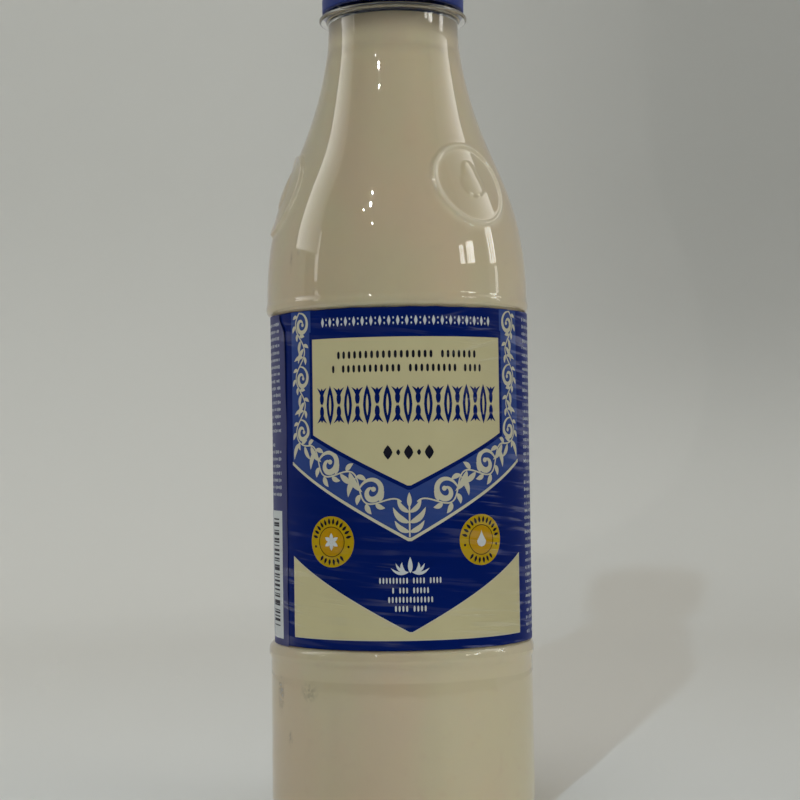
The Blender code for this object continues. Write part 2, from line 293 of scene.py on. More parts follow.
class Tree:
    """A node tree of a material or the world."""

    def __init__(self, tree: bpy.types.NodeTree) -> None:
        """Empty the tree for building."""
        self.nodes, self.links = tree.nodes, tree.links
        self.nodes.clear()

    @classmethod
    def of_material(cls, name: str) -> tuple[bpy.types.Material, "Tree"]:
        """A new material and its tree, emptied for building.

        Args:
            name: the material's name.

        Returns:
            The material and its tree.
        """
        made = bpy.data.materials.new(name)
        made.use_nodes = True
        return made, cls(made.node_tree)

    def node(self, kind: str, settings: dict | None = None, sockets: dict | None = None) -> bpy.types.Node:
        """Add any node.

        Args:
            kind: the node's type.
            settings: its own settings, set first.
            sockets: values or links of its inputs, by name or index.

        Returns:
            The node.
        """
        made = self.nodes.new(kind)
        for name, value in (settings or {}).items():
            setattr(made, name, value)
        for key, value in (sockets or {}).items():
            if isinstance(value, Value):
                self.links.new(value.socket, made.inputs[key])
            else:
                made.inputs[key].default_value = value
        return made

    def out(self, node: bpy.types.Node, key: int | str = 0) -> Value:
        """One output of a node as a value."""
        return Value(self, node.outputs[key])

    def math(self, operation: str, a: Value | float, b: Value | float) -> Value:
        """A Math node of two inputs."""
        return self.out(self.node("ShaderNodeMath", {"operation": operation}, {0: a, 1: b}))

    def vector(self, x: Value | float, y: Value | float, z: Value | float) -> Value:
        """Three numbers as one vector."""
        return self.out(self.node("ShaderNodeCombineXYZ", None, {0: x, 1: y, 2: z}))

    def place(self) -> Value:
        """The point in the object's own metres."""
        return self.out(self.node("ShaderNodeTexCoord"), "Object")

    def parts(self, vector: Value) -> tuple[Value, Value, Value]:
        """A vector's three numbers."""
        split = self.node("ShaderNodeSeparateXYZ", None, {0: vector})
        return self.out(split, 0), self.out(split, 1), self.out(split, 2)

    def noise(self, vector: Value, scale: float, detail: float = 2.0, roughness: float = 0.5) -> Value:
        """Noise from 0 to 1."""
        sockets = {"Vector": vector, "Scale": scale, "Detail": detail, "Roughness": roughness}
        return self.out(self.node("ShaderNodeTexNoise", None, sockets))

    def near(self, vector: Value, centre: tuple, size: tuple) -> Value:
        """1 at a place, falling to 0 past an ellipsoid of the given half sizes.

        Args:
            vector: the point.
            centre: the ellipsoid's middle.
            size: its half lengths along X, Y and Z.

        Returns:
            The closeness, from 0 to 1.
        """
        off = self.node("ShaderNodeVectorMath", {"operation": "SUBTRACT"}, {0: vector, 1: centre})
        scale = tuple(1 / part for part in size)
        even = self.node("ShaderNodeVectorMath", {"operation": "MULTIPLY"}, {0: self.out(off), 1: scale})
        length = self.node("ShaderNodeVectorMath", {"operation": "LENGTH"}, {0: self.out(even)})
        return self.out(length, "Value").step(1.0, 0.2)

    def blend(self, a: Value | tuple, b: Value | tuple, factor: Value | float) -> Value:
        """Colour a turning into colour b."""
        made = self.node("ShaderNodeMix", {"data_type": "RGBA"}, {0: factor, 6: a, 7: b})
        return self.out(made, 2)

    def raised(self, height: Value, distance: float, strength: float = 1.0) -> Value:
        """A normal from a height map in metres per unit of height."""
        made = self.node("ShaderNodeBump", None, {"Height": height, "Distance": distance, "Strength": strength})
        return self.out(made)

    def principled(self, sockets: dict) -> Value:
        """A Principled surface."""
        return self.out(self.node("ShaderNodeBsdfPrincipled", None, sockets))

    def mixed(self, factor: Value, a: Value, b: Value) -> Value:
        """Surface a turning into surface b."""
        return self.out(self.node("ShaderNodeMixShader", None, {0: factor, 1: a, 2: b}))

    def show(self, surface: Value) -> None:
        """Make a surface the one that the material shows."""
        self.node("ShaderNodeOutputMaterial", None, {"Surface": surface})


def rgba(color: Sequence[float]) -> tuple[float, float, float, float]:
    """A colour with full opacity."""
    return (color[0], color[1], color[2], 1.0)


def shaded(color: Sequence[float], share: float) -> tuple[float, float, float, float]:
    """A colour made darker or lighter by a share."""
    return rgba([min(1.0, part * share) for part in color])


# ---------------------------------------------------------------- finishes


@dataclass(frozen=True)
class Smudge:
    """A dull spot on the outside of the bottle."""

    azimuth: float
    height: float
    radius: float
    size: tuple[float, float, float]
    strength: float

    def spot(self) -> tuple[float, float, float]:
        """Its place in metres."""
        return round_axis(self.radius, math.radians(self.azimuth), self.height)


@dataclass(frozen=True)
class ClearPet:
    """Blown clear PET: glossy, faintly wavy, with a mould line and a few smudges."""

    color: tuple[float, float, float] = (0.985, 0.988, 0.975)
    roughness: float = 0.035
    ior: float = 1.57
    mould_turn: float = math.radians(8)
    mould_width: float = 0.00022
    smudges: tuple[Smudge, ...] = (
        Smudge(-56.0, 0.1578, 0.0372, (0.0009, 0.0009, 0.0042), 0.50),
        Smudge(-51.5, 0.1600, 0.0371, (0.0012, 0.0012, 0.0010), 0.55),
        Smudge(-43.0, 0.2175, 0.0192, (0.0005, 0.0005, 0.0004), 0.70),
        Smudge(-68.5, 0.0373, 0.0376, (0.0030, 0.0030, 0.0066), 0.80),
        Smudge(-46.8, 0.0391, 0.0376, (0.0042, 0.0042, 0.0036), 0.52),
        Smudge(-60.0, 0.0255, 0.0377, (0.0018, 0.0018, 0.0030), 0.60),
    )

    def material(self) -> bpy.types.Material:
        """The material: glass for the eye, see-through for rays from lamps.

        Returns:
            The material.
        """
        made, tree = Tree.of_material("clear_pet")
        place = tree.place()
        x, y, z = tree.parts(place)
        grain = tree.noise(place, 900.0, 3.0, 0.6)
        dirt: Value | float = 0.0
        for smudge in self.smudges:
            dirt = tree.near(place, smudge.spot(), smudge.size) * smudge.strength + dirt
        dirt = dirt * grain.step(0.36, 0.62)
        haze = tree.noise(place, 60.0, 4.0, 0.6).step(0.45, 0.8)
        roughness = haze * 0.03 + dirt * 0.4 + self.roughness
        waves = tree.noise(tree.vector(x, y, z * 0.35), 55.0, 2.0, 0.4)
        mould_line = (x * math.cos(self.mould_turn) + y * math.sin(self.mould_turn)).bell(0.0, self.mould_width)
        height = waves * 0.9 + mould_line * 0.10
        shell = tree.principled(
            {
                "Base Color": tree.blend(rgba(self.color), (0.16, 0.15, 0.12, 1.0), dirt),
                "Roughness": roughness,
                "IOR": self.ior,
                "Transmission Weight": 1.0,
                "Normal": tree.raised(height, 0.0005, 0.35),
            }
        )
        open_shell = tree.node("ShaderNodeBsdfTransparent", None, {"Color": rgba([part**0.5 for part in self.color])})
        lamps = tree.out(tree.node("ShaderNodeLightPath"), "Is Shadow Ray")
        tree.show(tree.mixed(lamps, shell, tree.out(open_shell)))
        return made


@dataclass(frozen=True)
class ThickMilk:
    """Sweet condensed milk against the wall: cream, dense and very slightly uneven."""

    color: tuple[float, float, float] = (0.775, 0.655, 0.475)
    tint: tuple[float, float, float] = (0.76, 0.69, 0.487)
    # The pale colour is a painted highlight along the medallions' crests.
    pale: tuple[float, float, float] = (0.90, 0.82, 0.64)
    roughness: float = 0.45
    level: float = 0.2286
    rounds: tuple[float, ...] = (math.radians(37), math.radians(157), math.radians(277))
    round_radius: float = 0.0330
    round_height: float = 0.1785
    crest: float = 0.0121
    crest_width: float = 0.0013
    crest_highlight_share: float = 0.85
    # How far under the milk's level the painted shade of the ring and cap reaches.
    shade_depth: float = 0.0065

    def material(self) -> bpy.types.Material:
        """The material, with a little light carried under the surface, a painted highlight along the medallions'
        crests and painted shade under the ring.

        Returns:
            The material.
        """
        made, tree = Tree.of_material("condensed_milk")
        place = tree.place()
        x, y, z = tree.parts(place)
        drift = tree.noise(tree.vector(x, y, z * 0.4), 38.0, 2.0, 0.5)
        film = tree.noise(place, 260.0, 3.0, 0.55)
        cream = tree.blend(rgba(self.color), rgba(self.tint), drift.step(0.35, 0.65))
        cream = tree.blend(cream, shaded(self.color, 0.93), film.step(0.55, 0.85) * 0.5)
        # A paler band painted along each medallion's crest stands in for the highlight where light catches the raised
        # rim.
        for turn in self.rounds:
            spot = round_axis(self.round_radius, turn, self.round_height)
            off = tree.node("ShaderNodeVectorMath", {"operation": "DISTANCE"}, {0: place, 1: spot})
            crest = tree.out(off, "Value").bell(self.crest, self.crest_width)
            cream = tree.blend(cream, rgba(self.pale), crest * self.crest_highlight_share)
        # Painted shade: the milk is darkened just under its level, where the ring and cap shade the neck.
        ring_painted_shade = z.step(self.level - self.shade_depth, self.level - 0.001)
        cream = tree.blend(cream, shaded(self.color, 0.62), ring_painted_shade * 0.8)
        shader = tree.principled(
            {
                "Base Color": cream,
                "Roughness": film * 0.1 + self.roughness,
                "IOR": 1.4,
                "Specular IOR Level": 0.15,
                "Subsurface Weight": 0.2,
                "Subsurface Radius": (0.004, 0.003, 0.0016),
                "Subsurface Scale": 1.0,
                "Normal": tree.raised(film, 0.00005, 0.4),
            }
        )
        tree.show(shader)
        return made


@dataclass(frozen=True)
class Crease:
    """A level wrinkle of the film, in millimetres: its middle, how far it runs, how wide and strong it is."""

    middle: float
    height: float
    length: float
    width: float
    slope: float
    strength: float = 0.9


GLOSSY_CREASES = (
    Crease(18.3, 132.4, 9.0, 0.34, 0.20),
    Crease(22.0, 133.6, 6.0, 0.26, 0.22),
    Crease(24.5, 129.6, 5.0, 0.28, 0.12),
    Crease(10.5, 141.2, 4.5, 0.30, 0.25),
    Crease(20.0, 140.2, 5.0, 0.34, -0.16),
    Crease(22.0, 137.8, 3.5, 0.28, 0.05),
    Crease(17.6, 118.6, 5.5, 0.28, 0.12),
    Crease(23.6, 114.8, 6.0, 0.28, 0.04),
)
RAISED_CREASES = (
    Crease(26.0, 131.0, 7.0, 0.9, 0.03, 0.05),
    Crease(21.0, 127.6, 6.0, 0.8, 0.03, 0.04),
    Crease(27.0, 91.6, 9.0, 0.8, 0.03, 0.05),
    Crease(24.0, 93.4, 6.0, 0.7, 0.03, 0.04),
    Crease(-13.0, 66.5, 9.0, 0.9, 0.03, 0.03),
)


@dataclass(frozen=True)
class PrintInk:
    """Ink on a glossy plastic film that lies in fine wrinkles."""

    name: str
    color: tuple[float, float, float]
    roughness: float = 0.30
    mottle: float = 0.06
    matt_gloss: float = 0.03
    crease_gloss: float = 0.75
    crease_roughness: float = 0.24
    # Colour and share of the painted sheen that pales the ink along creases.
    crease_sheen_color: tuple[float, float, float] = (0.80, 0.79, 0.77)
    crease_painted_sheen: float = 0.07
    reach: float = 37.0
    right_side: tuple[float, float] = (4.0, 22.0)
    lower_part: tuple[float, float] = (60.0, 96.0)
    head_part: tuple[float, float] = (122.0, 136.0)
    round_back: tuple[float, float] = (52.0, 84.0)

    def material(self) -> bpy.types.Material:
        """The material; all inks share the film's wrinkles, because they read the same place.

        Returns:
            The material.
        """
        made, tree = Tree.of_material("ink_" + self.name)
        place = tree.place()
        grain = tree.noise(place, 1500.0, 3.0, 0.6)
        cloud = tree.noise(place, 90.0, 2.0, 0.5)
        color = tree.blend(shaded(self.color, 1 - self.mottle), shaded(self.color, 1 + self.mottle), cloud)
        color = tree.blend(color, shaded(self.color, 1 - 2 * self.mottle), grain.step(0.6, 0.8) * 0.5)
        crease = self.creases(tree, place)
        normal = tree.raised(crease * 0.16 + grain * 0.012, 0.001, 0.5)
        # On creases the base colour is blended paler: a painted sheen standing in for the glare along the wrinkles.
        pale = tree.blend(color, rgba(self.crease_sheen_color), self.crease_painted_sheen)
        matt = {"Roughness": grain * 0.08 + self.roughness, "Specular IOR Level": self.matt_gloss}
        shiny = {"Roughness": self.crease_roughness, "Specular IOR Level": self.crease_gloss}
        faces = [
            tree.principled({"Base Color": look, "Normal": normal, "IOR": 1.5, **rest})
            for look, rest in ((color, matt), (pale, shiny))
        ]
        tree.show(tree.mixed(crease, *faces))
        return made

    def creases(self, tree: Tree, place: Value) -> Value:
        """Where the film is creased, and so glossy and given a painted sheen: fine level lines, most on the right and
        low on the left.

        Args:
            tree: the material's tree.
            place: the point in metres.

        Returns:
            The crease's strength, from 0 to 1.
        """
        x, y, z = tree.parts(place)
        round_it = tree.math("ARCTAN2", x, y * -1.0) * self.reach
        up = z * 1000.0
        wide = tree.noise(tree.vector(round_it * 0.035, up * 0.55 + round_it * 0.05, 0.0), 1.0, 3.0, 0.55)
        patch = tree.noise(tree.vector(round_it * 0.09, up * 0.05, 3.0), 1.0, 1.0, 0.5).step(0.40, 0.62)
        right = round_it.step(*self.right_side)
        low = (1 - up.step(*self.lower_part)) * 0.6
        head = up.step(*self.head_part) * 0.5
        front = 1 - tree.math("MAXIMUM", round_it, round_it * -1.0).step(*self.round_back)
        where = tree.math("MINIMUM", right * 0.5 + low + head * 0.6 + 0.08, 1.0) * (patch * 0.75 + 0.25) * front
        crease = wide.step(0.50, 0.62) * where
        for line in GLOSSY_CREASES:
            aside = round_it - line.middle
            mark = (up - line.height - aside * line.slope).bell(0.0, line.width) * aside.bell(0.0, line.length)
            crease = tree.math("MAXIMUM", crease, mark * line.strength)
        return crease


class Ink(Enum):
    """The colours of the label."""

    DEEP = PrintInk("deep_blue", (0.0006, 0.011, 0.125))
    VIOLET = PrintInk("violet_blue", (0.033, 0.066, 0.25))
    CREAM = PrintInk("cream", (0.605, 0.548, 0.325), 0.34, 0.03)
    VINE = PrintInk("vine_pale", (0.60, 0.575, 0.44), 0.34, 0.03)
    PALE = PrintInk("pale", (0.62, 0.65, 0.66), 0.34, 0.03)
    YELLOW = PrintInk("yellow", (0.49, 0.325, 0.006), 0.32)
    ORANGE = PrintInk("orange", (0.51, 0.275, 0.005), 0.32)
    BROWN = PrintInk("brown", (0.10, 0.035, 0.006), 0.34)
    FINE = PrintInk("fine_pale", (0.58, 0.61, 0.66), 0.36, 0.04)
    DARK = PrintInk("dark", (0.012, 0.012, 0.022), 0.34)
    GREY_BLUE = PrintInk("grey_blue", (0.060, 0.064, 0.175), 0.38)


@dataclass(frozen=True)
class CapPlastic:
    """Moulded satin plastic with flow marks, fine grain and edges rubbed lighter."""

    color: tuple[float, float, float] = (0.004, 0.021, 0.165)
    rubbed: tuple[float, float, float] = (0.03, 0.07, 0.32)
    roughness: float = 0.36
    bottom: float = 0.2362
    top: float = 0.2497

    def material(self) -> bpy.types.Material:
        """Blue plastic, rubbed lighter towards the top.

        Returns:
            The material.
        """
        made, tree = Tree.of_material("cap_plastic")
        place = tree.place()
        x, y, z = tree.parts(place)
        grain = tree.noise(place, 2600.0, 3.0, 0.6)
        flow = tree.noise(tree.vector(x, y, z * 0.15), 160.0, 3.0, 0.6)
        scuffs = tree.noise(tree.vector(x * 3.0, y * 0.7, z * 2.0), 240.0, 4.0, 0.7).step(0.66, 0.74)
        height = z.step(self.bottom, self.top)
        color = tree.blend(shaded(self.color, 0.85), shaded(self.color, 1.15), flow)
        color = tree.blend(color, rgba(self.rubbed), scuffs * height * 0.35)
        shader = tree.principled(
            {
                "Base Color": color,
                "Roughness": grain * 0.12 + scuffs * 0.1 + self.roughness,
                "IOR": 1.49,
                "Specular IOR Level": 0.22,
                "Normal": tree.raised(grain * 0.35 + flow * 0.5, 0.00012, 0.5),
            }
        )
        tree.show(shader)
        return made


def stands_for(piece: bpy.types.Object, node: str, material: bpy.types.Material) -> bpy.types.Object:
    """Dress a piece, let it ride on the only body and put it in a CAD node's place.

    Args:
        piece: the new object.
        node: the CAD node that it replaces.
        material: its finish.

    Returns:
        The piece.
    """
    piece.data.materials.append(material)
    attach(piece, "root")
    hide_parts(node)
    LOG.info("%s: %d faces", piece.name, len(piece.data.polygons))
    return piece


# ---------------------------------------------------------------- the bottle's wall


@dataclass(frozen=True)
class WallLine:
    """The bottle's profile, with the sizes that the CAD has."""

    foot_inner: float = 0.0272
    push_up: float = 0.0055
    push_up_edge: float = 0.0012
    crown: float = 0.85
    heel_radius: float = 0.0066
    heel_top: float = 0.03778
    body_radius: float = 0.03755
    panel_radius: float = 0.0364
    lower_rib: tuple[float, float, float] = (0.0381, 0.0459, 0.0507)
    upper_rib: tuple[float, float, float] = (0.0379, 0.1442, 0.1480)
    rib_fullness: float = 0.7
    wall: float = 0.0005
    base_wall: float = 0.0009
    shoulder_curve: tuple[tuple[float, float], ...] = (
        (0.0189, 0.2236),
        (0.0235, 0.1870),
        (0.0376, 0.1840),
        (0.0376, 0.1480),
    )
    bore_radius: float = 0.0163
    bore_bottom: float = 0.2202
    ring: tuple[float, float, float] = (0.0215, 0.2297, 0.2309)
    finish_radius: float = 0.0176
    mouth_top: float = 0.2477
    neck_ease: float = 0.0048

    def shoulder(self, heights: np.ndarray | None = None, count: int = 400) -> np.ndarray:
        """The shoulder's cubic (r, z), top to bottom, or its points at given heights.

        Args:
            heights: the heights wanted, or None for the curve's own.
            count: points along the curve.

        Returns:
            The points (r, z).
        """
        t = np.linspace(0.0, 1.0, count)[:, None]
        a, b, c, d = (np.array(point) for point in self.shoulder_curve)
        curve = (1 - t) ** 3 * a + 3 * (1 - t) ** 2 * t * b + 3 * (1 - t) * t**2 * c + t**3 * d
        if heights is None:
            return curve
        return np.column_stack((np.interp(heights, curve[::-1, 1], curve[::-1, 0]), heights))

    def eased_neck(self, line: np.ndarray) -> np.ndarray:
        """What rounds off the bend where neck and shoulder meet: slope (w - |z - z0|)^2 / 4w within w of it.

        Args:
            line: the profile (r, z).

        Returns:
            What comes to each point's r.
        """
        (radius, height), (r, z) = self.shoulder_curve[:2]
        slope = (r - radius) / (height - z)
        near = np.clip(self.neck_ease - np.abs(line[:, 1] - height), 0.0, None)
        return np.where(line[:, 0] < self.bore_radius + 0.004, slope * near**2 / (4 * self.neck_ease), 0.0)

    def rib(self, size: tuple[float, float, float], count: int) -> np.ndarray:
        """A rib, r = panel + depth cos(a)^fullness and z = middle + half sin(a), top to bottom.

        Args:
            size: the rib's radius, bottom and top.
            count: points over it, before both ends are left out.

        Returns:
            The points (r, z).
        """
        radius, bottom, top = size
        a = np.linspace(math.pi / 2, -math.pi / 2, count)[1:-1]
        r = self.panel_radius + (radius - self.panel_radius) * np.cos(a) ** self.rib_fullness
        return np.column_stack((r, (bottom + top) / 2 + (top - bottom) / 2 * np.sin(a)))

    def body(self, shoulder_heights: np.ndarray, fine: bool) -> np.ndarray:
        """The outside from the shoulder down to the middle of the base.

        Args:
            shoulder_heights: the heights of the shoulder's rows, falling.
            fine: True for the outer face, False for fewer rows.

        Returns:
            The points (r, z).
        """
        count = 22 if fine else 12
        upper, lower = self.rib(self.upper_rib, count), self.rib(self.lower_rib, count)
        widest = self.shoulder_curve[-1][0]
        upper = upper[(upper[:, 0] > widest) | (upper[:, 1] < self.upper_rib[1] + 0.0009)]
        lower = lower[(lower[:, 0] > self.body_radius) | (lower[:, 1] > self.lower_rib[2] - 0.0009)]
        panel = np.array([(self.panel_radius, self.upper_rib[1]), (self.panel_radius, self.lower_rib[2])])
        heel_middle = (self.heel_top - self.heel_radius, self.heel_radius)
        heel = arc(heel_middle, self.heel_radius, 0, -90, 12 if fine else 7)
        side = np.array([(self.body_radius, self.lower_rib[1]), heel[0]])
        base = rounded(
            [
                (*heel[-1], 0.0),
                (self.foot_inner, 0.0, 0.0012),
                (self.foot_inner - 2 * self.push_up_edge, self.push_up_edge, 0.003),
                (self.foot_inner / 2, self.push_up * self.crown, 0.012),
                (0.0, self.push_up, 0.0),
            ],
            5,
        )
        longest = 0.004 if fine else 0.012
        runs = (self.shoulder(shoulder_heights), upper, refined(panel, 0.016), lower, refined(side, longest))
        return np.vstack((*runs, heel[1:], refined(base[1:], longest)))

    def inside(self, extra: float, heights: np.ndarray) -> np.ndarray:
        """The wall's inner face from the bore down, sunk into the wall by extra.

        Args:
            extra: how far into the wall, in metres.
            heights: the heights of the shoulder's rows, falling.

        Returns:
            The points (r, z), from the bore's bottom to the middle of the base.
        """
        outer = self.body(heights, False)
        share = np.clip(1 - outer[:, 1] / self.heel_radius, 0.0, 1.0)
        depth = self.wall + (self.base_wall - self.wall) * share - extra
        inner = outer - square_to(outer) * depth[:, None]
        inner = inner[inner[:, 1] < self.bore_bottom - self.wall]
        inner[-1] = (0.0, self.push_up + self.base_wall - extra)
        start = rounded(
            [
                (self.bore_radius + extra, self.bore_bottom + 0.003, 0.0),
                (self.bore_radius + extra, self.bore_bottom, 0.003),
                (*inner[0], 0.0),
            ],
            5,
        )
        return np.vstack((start[:-1], inner))


@dataclass(frozen=True)
class Medallions:
    """Raised rounds on the shoulder: a thin crest round a shallow dish with a drop in it."""

    number: int = 3
    first: float = math.radians(37.0)
    height: float = 0.1785
    skirt: float = 0.0134
    crest: float = 0.0118
    crest_width: float = 0.00052
    crest_rise: float = 0.00064
    dish_rise: float = 0.0002
    drop_radius: float = 0.0036
    drop_point: float = 0.0032
    drop_rise: float = 0.0005

    def azimuths(self) -> list[float]:
        """The middles of the rounds."""
        return [self.first + FULL_TURN * i / self.number for i in range(self.number)]

    def relief(self, line: np.ndarray, azimuths: np.ndarray) -> np.ndarray:
        """How far the wall stands proud, (rows, columns).

        In a round's own plane, across = r sin(a - middle) and up = (z - height) / cos(slope). The
        dish is a plateau that falls off past the crest, the crest a bell round its radius, and the
        drop a dome sqrt(1 - q^2), where q is the distance over the drop's own outline.

        Args:
            line: the profile (r, z).
            azimuths: the columns.

        Returns:
            The rise in metres.
        """
        rise = np.zeros((len(line), len(azimuths)))
        at = np.argmin(np.abs(line[:, 1] - self.height))
        slope = math.atan2(abs(line[at + 1, 0] - line[at - 1, 0]), abs(line[at - 1, 1] - line[at + 1, 1]))
        up = ((line[:, 1] - self.height) / math.cos(slope))[:, None]
        near = np.abs(up) < self.skirt
        for middle in self.azimuths():
            turn = np.angle(np.exp(1j * (azimuths - middle)))[None]
            across = line[:, :1] * np.sin(turn)
            facing = near & (np.abs(turn) < 1.2)
            distance = np.hypot(across, up)
            angle = np.arctan2(up, across)
            plate = self.dish_rise * smooth(distance, self.skirt, self.crest)
            crest = self.crest_rise * bump(distance, self.crest, self.crest_width)
            off = np.abs(np.angle(np.exp(1j * (angle - math.pi / 2))))
            point = np.clip(np.cos(off * 1.5), 0.0, 1.0) ** 3 * (off < math.pi / 3)
            q = distance / (self.drop_radius + 0.0005 + self.drop_point * point)
            dome = self.drop_rise * np.sqrt(np.clip(1 - q * q, 0.0, 1.0))
            rise += np.where(facing, plate + crest + dome, 0.0)
        return rise


@dataclass
class BottleShell:
    """The clear bottle, in one closed surface with a real wall."""

    line: WallLine
    medallions: Medallions = field(default_factory=Medallions)
    finish: ClearPet = field(default_factory=ClearPet)
    thread_pitch: float = 0.0042
    thread_turns: float = 1.5
    thread_bottom: float = 0.2382
    thread_rise: float = 0.0010
    dense_half: float = math.radians(25.5)
    dense_columns: int = 62
    wide_columns: int = 18
    dense_top: float = 0.1915
    dense_bottom: float = 0.1660
    shoulder_end: float = 0.1482

    def columns(self) -> np.ndarray:
        """Azimuths, close together across each medallion and wider between.

        Returns:
            The azimuths in radians.
        """
        gap = FULL_TURN / self.medallions.number
        one = np.concatenate(
            (
                np.linspace(-self.dense_half, self.dense_half, self.dense_columns, endpoint=False),
                np.linspace(self.dense_half, gap - self.dense_half, self.wide_columns, endpoint=False),
            )
        )
        return np.concatenate([middle + one for middle in self.medallions.azimuths()])

    def outer_line(self) -> np.ndarray:
        """The outside from the mouth down to the middle of the base.

        Returns:
            The points (r, z).
        """
        line = self.line
        radius, bottom, top = line.ring
        neck_radius, neck_bottom = line.shoulder_curve[0]
        finish = rounded(
            [
                (line.bore_radius, line.mouth_top - 0.001, 0.0),
                (line.bore_radius, line.mouth_top, 0.0003),
                (line.finish_radius, line.mouth_top, 0.0005),
                (line.finish_radius, top, 0.0003),
                (radius, top, 0.00055),
                (radius, bottom, 0.00055),
                (neck_radius, bottom, 0.0006),
                (neck_radius, neck_bottom, 0.0),
            ]
        )
        heights = np.concatenate(
            (
                np.linspace(neck_bottom, self.dense_top, 18, endpoint=False),
                np.linspace(self.dense_top, self.dense_bottom, 88, endpoint=False),
                np.linspace(self.dense_bottom, self.shoulder_end, 9),
            )
        )
        whole = np.vstack((refined(finish, 0.0006)[:-1], line.body(heights, True)))
        whole[:, 0] += line.eased_neck(whole)
        return whole

    def thread(self, line: np.ndarray, azimuths: np.ndarray) -> np.ndarray:
        """The neck's thread: a bell round each turn of a helix, run out at both ends.

        Args:
            line: the profile (r, z).
            azimuths: the columns.

        Returns:
            The rise in metres, (rows, columns).
        """
        rise = np.zeros((len(line), len(azimuths)))
        on_finish = (line[:, 1] > self.thread_bottom - 0.002) & (line[:, 0] > self.line.finish_radius - 0.0002)
        for turn in range(math.ceil(self.thread_turns)):
            along = (azimuths / FULL_TURN) % 1.0 + turn
            ends = smooth(along, 0.0, 0.08) * smooth(along, self.thread_turns, self.thread_turns - 0.08)
            height = self.thread_bottom + self.thread_pitch * along
            rise += ends * bump(line[:, 1:], height[None], 0.0007)
        return rise * on_finish[:, None] * self.thread_rise

    def build(self) -> bpy.types.Object:
        """The shell: outer face with its relief, then the inner face from the base up to the mouth.

        Returns:
            The piece.
        """
        azimuths = self.columns()
        outer = self.outer_line()
        lift = self.medallions.relief(outer, azimuths) + self.thread(outer, azimuths)
        inner = self.line.inside(0.0, np.linspace(self.line.bore_bottom, self.shoulder_end, 26))
        bore = np.array([(self.line.bore_radius, self.line.mouth_top - 0.001), tuple(inner[0])])
        inner = np.vstack((refined(bore, 0.006)[:-1], inner))[::-1]
        work = Patchwork("bottle_shell")
        work.grid(turned(outer, azimuths, lift), wrap=True)
        work.grid(turned(inner, azimuths), wrap=True)
        shell = work.finished(merge=TOUCHING)
        return stands_for(shell, "bottle", self.finish.material())


@dataclass
class MilkFill:
    """The contents, which reach a little way into the wall, so that no air gap shows."""

    shell: BottleShell
    finish: ThickMilk = field(default_factory=ThickMilk)
    sunk: float = 0.00014
    follows: float = 0.92
    rows: tuple[tuple[float, float, int], ...] = ((0.2202, 0.1930, 12), (0.1925, 0.1650, 72), (0.1630, 0.1482, 6))

    def build(self) -> bpy.types.Object:
        """The milk with a flat top that climbs at the rim, and the wall's relief on its side.

        Returns:
            The piece.
        """
        line = self.shell.line
        heights = np.concatenate([np.linspace(*run) for run in self.rows])
        side = line.inside(self.sunk, heights)
        rim, level = line.bore_radius + self.sunk, self.finish.level
        top = [(0.0, level - 0.0004), (rim * 0.6, level - 0.0004), (rim * 0.85, level - 0.0003)]
        top += [(rim * 0.96, level), (rim, level + 0.0006)]
        profile = np.vstack((top, refined(side[:3], 0.002), refined(side[3:], 0.003)))
        azimuths = self.shell.columns()
        lift = self.shell.medallions.relief(profile, azimuths) * self.follows
        work = Patchwork("milk_fill")
        work.grid(turned(profile, azimuths, lift), wrap=True)
        milk = work.finished(merge=TOUCHING)
        return stands_for(milk, "milk", self.finish.material())


# ---------------------------------------------------------------- the label


